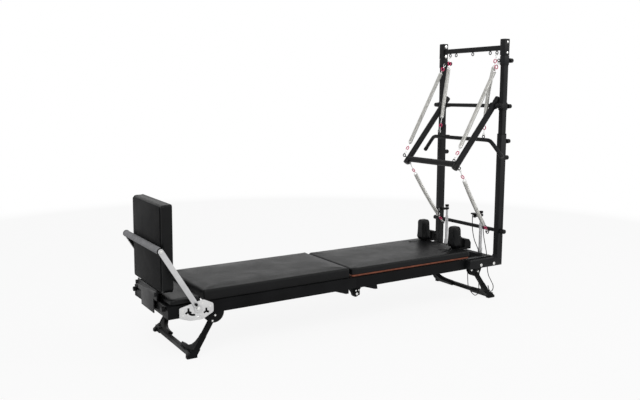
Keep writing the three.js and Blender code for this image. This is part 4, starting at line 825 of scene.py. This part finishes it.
def coil(length, outer, wire, pitch, steps=12, sides=5):
    """A close-wound coil that stands on the origin along Z, its ends closed."""
    bpy.ops.mesh.primitive_circle_add(vertices=sides, radius=mm(wire), location=(mm(outer - wire), 0, mm(wire)),
                                      rotation=(math.radians(90), 0, 0))
    obj = bpy.context.object
    bpy.ops.object.transform_apply(location=True, rotation=True)
    turns = round((length - 2 * wire) / pitch)
    wound = obj.modifiers.new("Wound", "SCREW")
    wound.screw_offset = mm((length - 2 * wire) / turns)
    wound.iterations = turns
    wound.steps = wound.render_steps = steps
    wound.use_normal_calculate = True
    bpy.ops.object.modifier_apply(modifier="Wound")
    open_whole(obj)
    bpy.ops.mesh.fill_holes(sides=0)
    bpy.ops.mesh.select_all(action="SELECT")
    bpy.ops.mesh.normals_make_consistent(inside=False)
    bpy.ops.object.mode_set(mode="OBJECT")
    return obj


parked = [block(1461, 1485, -180, 180, 303, 330)]
for y in (-168, -84, 0, 84, 168):
    spring = coil(496, 11, 1.9, 4, 12, 4)
    spring.rotation_euler = (0, math.radians(90), 0)
    spring.location = at(1485, y, 304)
    parked.append(spring)
fit(joined(parked), "bed_spring_coils", "carriage", nickel, ["bed_springs"])


def hung_spring(name, start, end, links, rings, normals, bodies, bow=0, aside=0, outer=14.8):
    """A spring between two bearing points. normals says which way each link's eye is turned about the axis."""
    start, end = at(*start), at(*end)
    axis = (end - start).normalized()
    edge = Vector((0, 1, 0)).cross(axis).normalized()
    stance = Matrix((edge, axis.cross(edge), axis)).transposed().to_4x4()
    total = (end - start).length / mm(1)
    steel, locks = [], []
    for link, lock, normal, first, sense in zip(links, rings, normals, (0, total), (1, -1)):
        def up(d):
            return Vector((0, 0, mm(first + sense * d)))
        steel += [
            ring(up(5.5), 10, 2.2, normal),
            bar(up(15), up(lock - 12), 3, sides=16),
            soften(bar(up(lock - 16), up(lock - 11), 5, sides=24), 0.8),
            bar(up(lock + 12), up(link - 17), 3, sides=16),
            bar(up(link - 18), up(link - 3), 3.4, outer - 1, 28),
            soften(bar(up(link - 3.4), up(link + 1), outer, sides=28), 0.7),
        ]
        locks.append(ring(up(lock), 13.6, 3.3, normal, 40, 12))
    wound = coil(total - sum(links), outer, 1.45, 3.0)
    wound.location = (0, 0, mm(links[0]))
    for pieces, label, material, stands_for in (
        ([wound], "coil", nickel, [name]), (steel, "links", zinc, []), (locks, "locks", red_anodised, []),
    ):
        obj = joined(pieces)
        for vertex in obj.data.vertices:
            arch = math.sin(math.pi * vertex.co.z / mm(total))
            vertex.co.x += mm(bow) * arch
            vertex.co.y -= mm(aside) * arch
        obj.matrix_world = Matrix.Translation(start) @ stance
        fit(obj, f"{name}_{label}", (*bodies, start, end), material, stands_for)
        if label != "links":
            only(obj)
            bpy.ops.object.shade_smooth()


def bearing(eye, other, flat):
    """Where a link bears on an eye: under a flat eye, or towards the spring's far end on one that stands on edge."""
    if flat:
        return Vector(eye) - Vector((0, 0, BEARING))
    return Vector(eye) + (Vector(other) - Vector(eye)).normalized() * BEARING


for side, sign in NEAR_AND_FAR:
    for name, eye, other, flat, links, rings, first, second, bow, aside in (
        ("long_spring", sleeve_eye, arm_front_eye, True, (86, 103), (42, 52), "head_half", "push_through_bar", 0, 0),
        ("low_spring", arm_rear_eye, low_eye, False, (101, 76), (64, 34), "push_through_bar", "head_half", 11, 0),
        ("roll_spring", top_eye, roll_eye, True, (100, 126), (52, 55), "roll_springs", "roll_down_bar", 10, 12),
    ):
        eye, other = mirrored(eye, sign), mirrored(other, sign)
        start = bearing(eye, other, flat)
        end = bearing(other, start, False)
        hung_spring(f"{name}_{side}", start, end, links, rings, ("Y" if flat else "X", "X"), (first, second), bow,
                    sign * aside)

# Shoulder rests. Tapered vinyl pads in front of moulded foot blocks, each pegged through the carriage pad and
# released by a small lever on its inner side.
for side, sign in NEAR_AND_FAR:
    y = sign * 177
    pad = sewn_pad((2237, y - 52, 399), (2299, y + 52, 559), 26, 0, ease=14, voxel=4, swell=2.5)
    for vertex in pad.data.vertices:
        rise = (vertex.co.z - mm(399)) / mm(160)
        vertex.co.y = mm(y) + (vertex.co.y - mm(y)) * (1 - 0.24 * max(rise, 0))
    dress_pad(pad, f"shoulder_cushion_{side}", f"shoulder_pad_{side}", f"shoulder_rest_{side}")
    base = refined(f"shoulder_base_{side}", black_plastic, 1.4)
    open_whole(base)
    bpy.ops.mesh.bisect(plane_co=at(2320, 0, 466), plane_no=(0.12, 0, 1), use_fill=True, clear_outer=True)
    bpy.ops.object.mode_set(mode="OBJECT")
    round_edges(base, 8, 4, lambda a, b: min(a.z, b.z) > mm(455) and abs(a.y - b.y) > mm(60))
    bpy.ops.object.shade_smooth_by_angle(angle=math.radians(38))
    gusset = plate([(2290, 398), (2290, 486), (2306, 486), (2352, 432), (2352, 398)], 66)
    gusset.matrix_world = Matrix.Translation(at(0, y + 4 * sign, 0)) @ STOOD_UP
    fit(soften(gusset, 5, 4), f"shoulder_gusset_{side}", f"shoulder_rest_{side}", black_plastic)

# Tower uprights. Square steel tubes with an arm bolted along each rail, and slimmer tubes that telescope inside them,
# closed at the top by brackets with plastic caps and locked by sprung plungers at the rear.
UPRIGHT_X, UPRIGHT_Y = 2569, 327.5


def tube_edge(a, b):
    return (a - b).length > mm(150) and abs(a.y - b.y) < mm(1)


def knob(x0, x1, y, z, rim=17.5, face=16.5):
    """A round knob that narrows from its rim at x0 to its face at x1."""
    return soften(rod((x0, x1), y, z, rim, face, 40), 3, 4)


for side, sign in NEAR_AND_FAR:
    y = sign * UPRIGHT_Y
    refined(f"lower_upright_{side}", lightened_powder_coat, 0.8, rounding=(4, 4, tube_edge))
    open_whole(refined(f"upper_upright_{side}", lightened_powder_coat, 0.6, rounding=(3, 4, tube_edge)))
    bpy.ops.transform.resize(value=(1.06, 1.05, 1), center_override=at(UPRIGHT_X, y, 1500))
    bpy.ops.object.mode_set(mode="OBJECT")
    for index, (x, z) in enumerate(((2382, 284), (2511, 282))):
        bolt(f"arm_bolt_{side}_{index}", "head_half", at(x, sign * 349.7, z), sign, 11.8, 8)
    bracket = rounded_block(2542, 2593, sign * 327, 23.5, 1806, 1918)
    fit(soften(bracket, 0.7), f"top_bracket_{side}", body_of["top_crossbar"], lightened_powder_coat)
    for index, z in enumerate((1824, 1899)):
        for place, face, way, washer in (("outer", 350.5, sign, 8.5), ("inner", 303.5, -sign, 13)):
            bolt(f"top_bolt_{place}_{side}_{index}", "head_half", at(UPRIGHT_X, sign * face, z), way, washer,
                 washer * 0.62, 3.4)
    cap = rounded_block(2542.6, 2592.4, sign * 327, 22.8, 1917.5, 1922)
    fit(soften(cap, 1.6, 3), f"top_cap_{side}", "head_half", black_plastic)
    collar = rounded_block(2543.2, 2594.8, y, 23.2, 1236, 1243)
    fit(soften(collar, 1.4, 3), f"collar_{side}", "head_half", black_plastic)
    fit(knob(2595, 2636, y, 1065), f"lock_knob_{side}", "head_half", black_plastic)
    for name, z in (("telescope_pin", 1186), ("band_sleeve_pin", 1441), ("top_sleeve_pin", 1770)):
        pin = joined([rod((2581, 2618), y, z, 4, sides=20), knob(2615, 2648, y, z, face=15.5)])
        fit(pin, f"{name}_knob_{side}", f"{name}_{side}", black_plastic, [f"{name}_{side}"])

# Sleeves and crossbars. Welded sleeves slide on the upper tubes, the top ones with spring eyes and the lower ones
# with the push-through bar's bearings. A square bar and a round one tie the uprights, with eyes welded below.


def welded_eye(place, normal, foot):
    """An eye of round wire on a short shank that is welded at foot."""
    place, foot = Vector(place), Vector(foot)
    reach = (place - foot).normalized() * mm(EYE_RADIUS - 1)
    return joined([ring(place, EYE_RADIUS, EYE_WIRE, normal), bar(foot, place - reach, 5, 3.6, 20)])


PIVOT_X, PIVOT_Z = 2528, 1445
for side, sign in NEAR_AND_FAR:
    y = sign * UPRIGHT_Y
    for name, middle, half in (("top_sleeve", 1770, 33), ("band_sleeve", 1441, 27)):
        tube = rounded_block(2544, 2594, y, 23.2, middle - half, middle + half)
        choose(tube, "FACE", lambda face, mesh: abs(face.normal.z) > 0.9)
        bpy.ops.mesh.inset(thickness=mm(4.6))
        bpy.ops.mesh.extrude_region_move(TRANSFORM_OT_translate={"value": (0, 0, 0)})
        bpy.ops.transform.resize(value=(1, 1, 0.94), center_override=at(UPRIGHT_X, y, middle))
        bpy.ops.object.mode_set(mode="OBJECT")
        parts = [soften(tube, 0.7), rod((2593, 2615), y, middle, 8, sides=28)]
        if name == "top_sleeve":
            eye_x, _, eye_z = sleeve_eye
            parts.append(welded_eye(at(*mirrored(sleeve_eye, sign)), "X", at(eye_x, sign * 305, eye_z)))
        else:
            lug = rod(PIVOT_X, (y - 18, y + 18), PIVOT_Z, 18, sides=48)
            web = block(PIVOT_X, 2546, y - 18, y + 18, PIVOT_Z - 18, PIVOT_Z + 18)
            parts += [soften(lug, 1), web]
        fit(joined(parts), f"{name}_welded_{side}", body_of[f"{name}_{side}"], lightened_powder_coat,
            [f"{name}_{side}"])

top_bar = block(2554, 2584, -304.5, 304.5, 1843, 1878)
round_edges(top_bar, 3, 4, lambda a, b: abs(a.y - b.y) > 0.3)
eyes = [welded_eye(at(top_eye[0], y, top_eye[2]), "X", at(top_eye[0], y, 1844)) for y in (-250, -183, 0, 183, 250)]
fit(joined([top_bar, *eyes]), "top_crossbar_welded", body_of["top_crossbar"], lightened_powder_coat,
    ["top_crossbar"])
low_parts = [rod(UPRIGHT_X, (-305.1, 305.1), 520, 14, sides=40),
             rod(UPRIGHT_X, (-367, 367), 520, 8, sides=24)]
for side, sign in NEAR_AND_FAR:
    end_knob = rod(UPRIGHT_X, (sign * 351, sign * 391), 520, 17.5, 16.5, 40)
    low_parts.append(soften(end_knob, 3, 4))
    low_parts.append(welded_eye(at(*mirrored(low_eye, sign)), "Y", at(2560, sign * low_eye[1], 513)))
fit(joined(low_parts), "lower_crossbar_welded", body_of["lower_crossbar"], lightened_powder_coat,
    ["lower_crossbar"])

# Push-through bar. A round steel frame: two arms on a pivot bar, a crossbar at their lower end, eyes for four
# springs, and rubber ends.
lean_down = Vector((-0.63338, 0, -0.77384))
lean_front = Vector((-0.77384, 0, 0.63338))
ARM_Y, CROSSBAR = 275, 537


def on_arm(y, along, off=0):
    """A place along the arms from their pivot, and off in front of them."""
    return at(PIVOT_X, y, PIVOT_Z) + lean_down * mm(along) + lean_front * mm(off)


steel = [bar(on_arm(-366, 0), on_arm(366, 0), 14, sides=40),
         bar(on_arm(-ARM_Y, CROSSBAR), on_arm(ARM_Y, CROSSBAR), 22, sides=56)]
rubber = []
for side, sign in NEAR_AND_FAR:
    y = sign * ARM_Y
    steel.append(bar(on_arm(y, -70), on_arm(y, 574), 22, sides=56))
    steel.append(soften(bar(on_arm(y - 21.5, 0), on_arm(y + 21.5, 0), 25, sides=56), 1.2))
    rubber.append(soften(bar(on_arm(y, 538), on_arm(y, 577), 24, sides=56), 3, 4))
    rubber.append(soften(bar(on_arm(y, -72), on_arm(y, -30), 24, sides=56), 3, 4))
    rubber.append(soften(bar(on_arm(sign * 347, 0), on_arm(sign * 367, 0), 16, sides=40), 2.4, 3))
    for eye, off in ((arm_front_eye, 12), (arm_rear_eye, -12)):
        steel.append(welded_eye(at(*mirrored(eye, sign)), "Y", on_arm(sign * 279, CROSSBAR, off)))
fit(joined(steel), "push_through_frame", "push_through_bar", lightened_powder_coat, ["push_through_bar"])
fit(joined(rubber), "push_through_ends", "push_through_bar", sleeve_rubber)

# Roll-down bar. One round bar with its ends bent down, hung on two springs, with rubber caps.
bend = [(2469, 276, 1196), (2469.6, 297, 1194), (2470.8, 315, 1187), (2472.6, 333, 1172.5), (2481, 425, 1080)]
line = [at(x, -y, z) for x, y, z in reversed(bend)] + [at(2469, 0, 1196)] + [at(*knot) for knot in bend]
path = course(line, 14)
rolled = [bent_bar(path, 14.4, 40)]
for side, sign in NEAR_AND_FAR:
    rolled.append(ring(at(*mirrored(roll_eye, sign)), EYE_RADIUS, EYE_WIRE, "Y"))
fit(joined(rolled), "roll_down_bent_bar", "roll_down_bar", lightened_powder_coat, ["roll_down_bar"])
for side, tip, back in (("near", path[0], path[5]), ("far", path[-1], path[-6])):
    way = (tip - back).normalized()
    cap = soften(bar(tip - way * mm(26), tip + way * mm(1), 15.8, sides=40), 3, 4)
    fit(cap, f"roll_down_cap_{side}", "roll_down_bar", sleeve_rubber)

# Rope risers and pulleys. Silver tubes that stand in short ferrules on the head beam, each with a black cap and a
# grooved pulley between two cheeks, below a flat round hood.
RISER_X, PULLEY_X, PULLEY_Z = 2523, 2452, 622
for side, sign in NEAR_AND_FAR:
    y = sign * 191

    def on_axle(off):
        return at(PULLEY_X, y + off, PULLEY_Z)

    parts = [rod(RISER_X, y, (329.3, 640), 9, sides=40),
             rod(RISER_X, y, (332, 560), 12, sides=40),
             soften(rod(RISER_X, y, (330.5, 371), 16.2, sides=40), 1.5, 3)]
    fit(joined(parts), f"riser_tube_{side}", "head_half", silver_paint, [f"riser_{side}"])
    bracket = [soften(rod(RISER_X, y, (636, 654), 15, sides=40), 3, 4),
               soften(block(2474, 2536, y - 10.3, y + 10.3, 613.5, 630.5), 1.6, 3),
               soften(rod(2449, y, (636, 644), 25, 24, 48), 2, 3)]
    for end in (-1, 1):
        bracket.append(soften(bar(on_axle(end * 6.3), on_axle(end * 10.3), 13.5, sides=36), 1))
        bracket.append(block(PULLEY_X, 2476, y + end * 8.3 - 2, y + end * 8.3 + 2, 613.5, 630.5))
    fit(joined(bracket), f"pulley_bracket_{side}", "head_half", black_plastic)
    wheel = joined([bar(on_axle(-6), on_axle(0), 13, 9, 48), bar(on_axle(0), on_axle(6), 9, 13, 48)])
    fit(wheel, f"pulley_wheel_{side}", f"pulley_{side}", silver_paint, [f"pulley_{side}"])
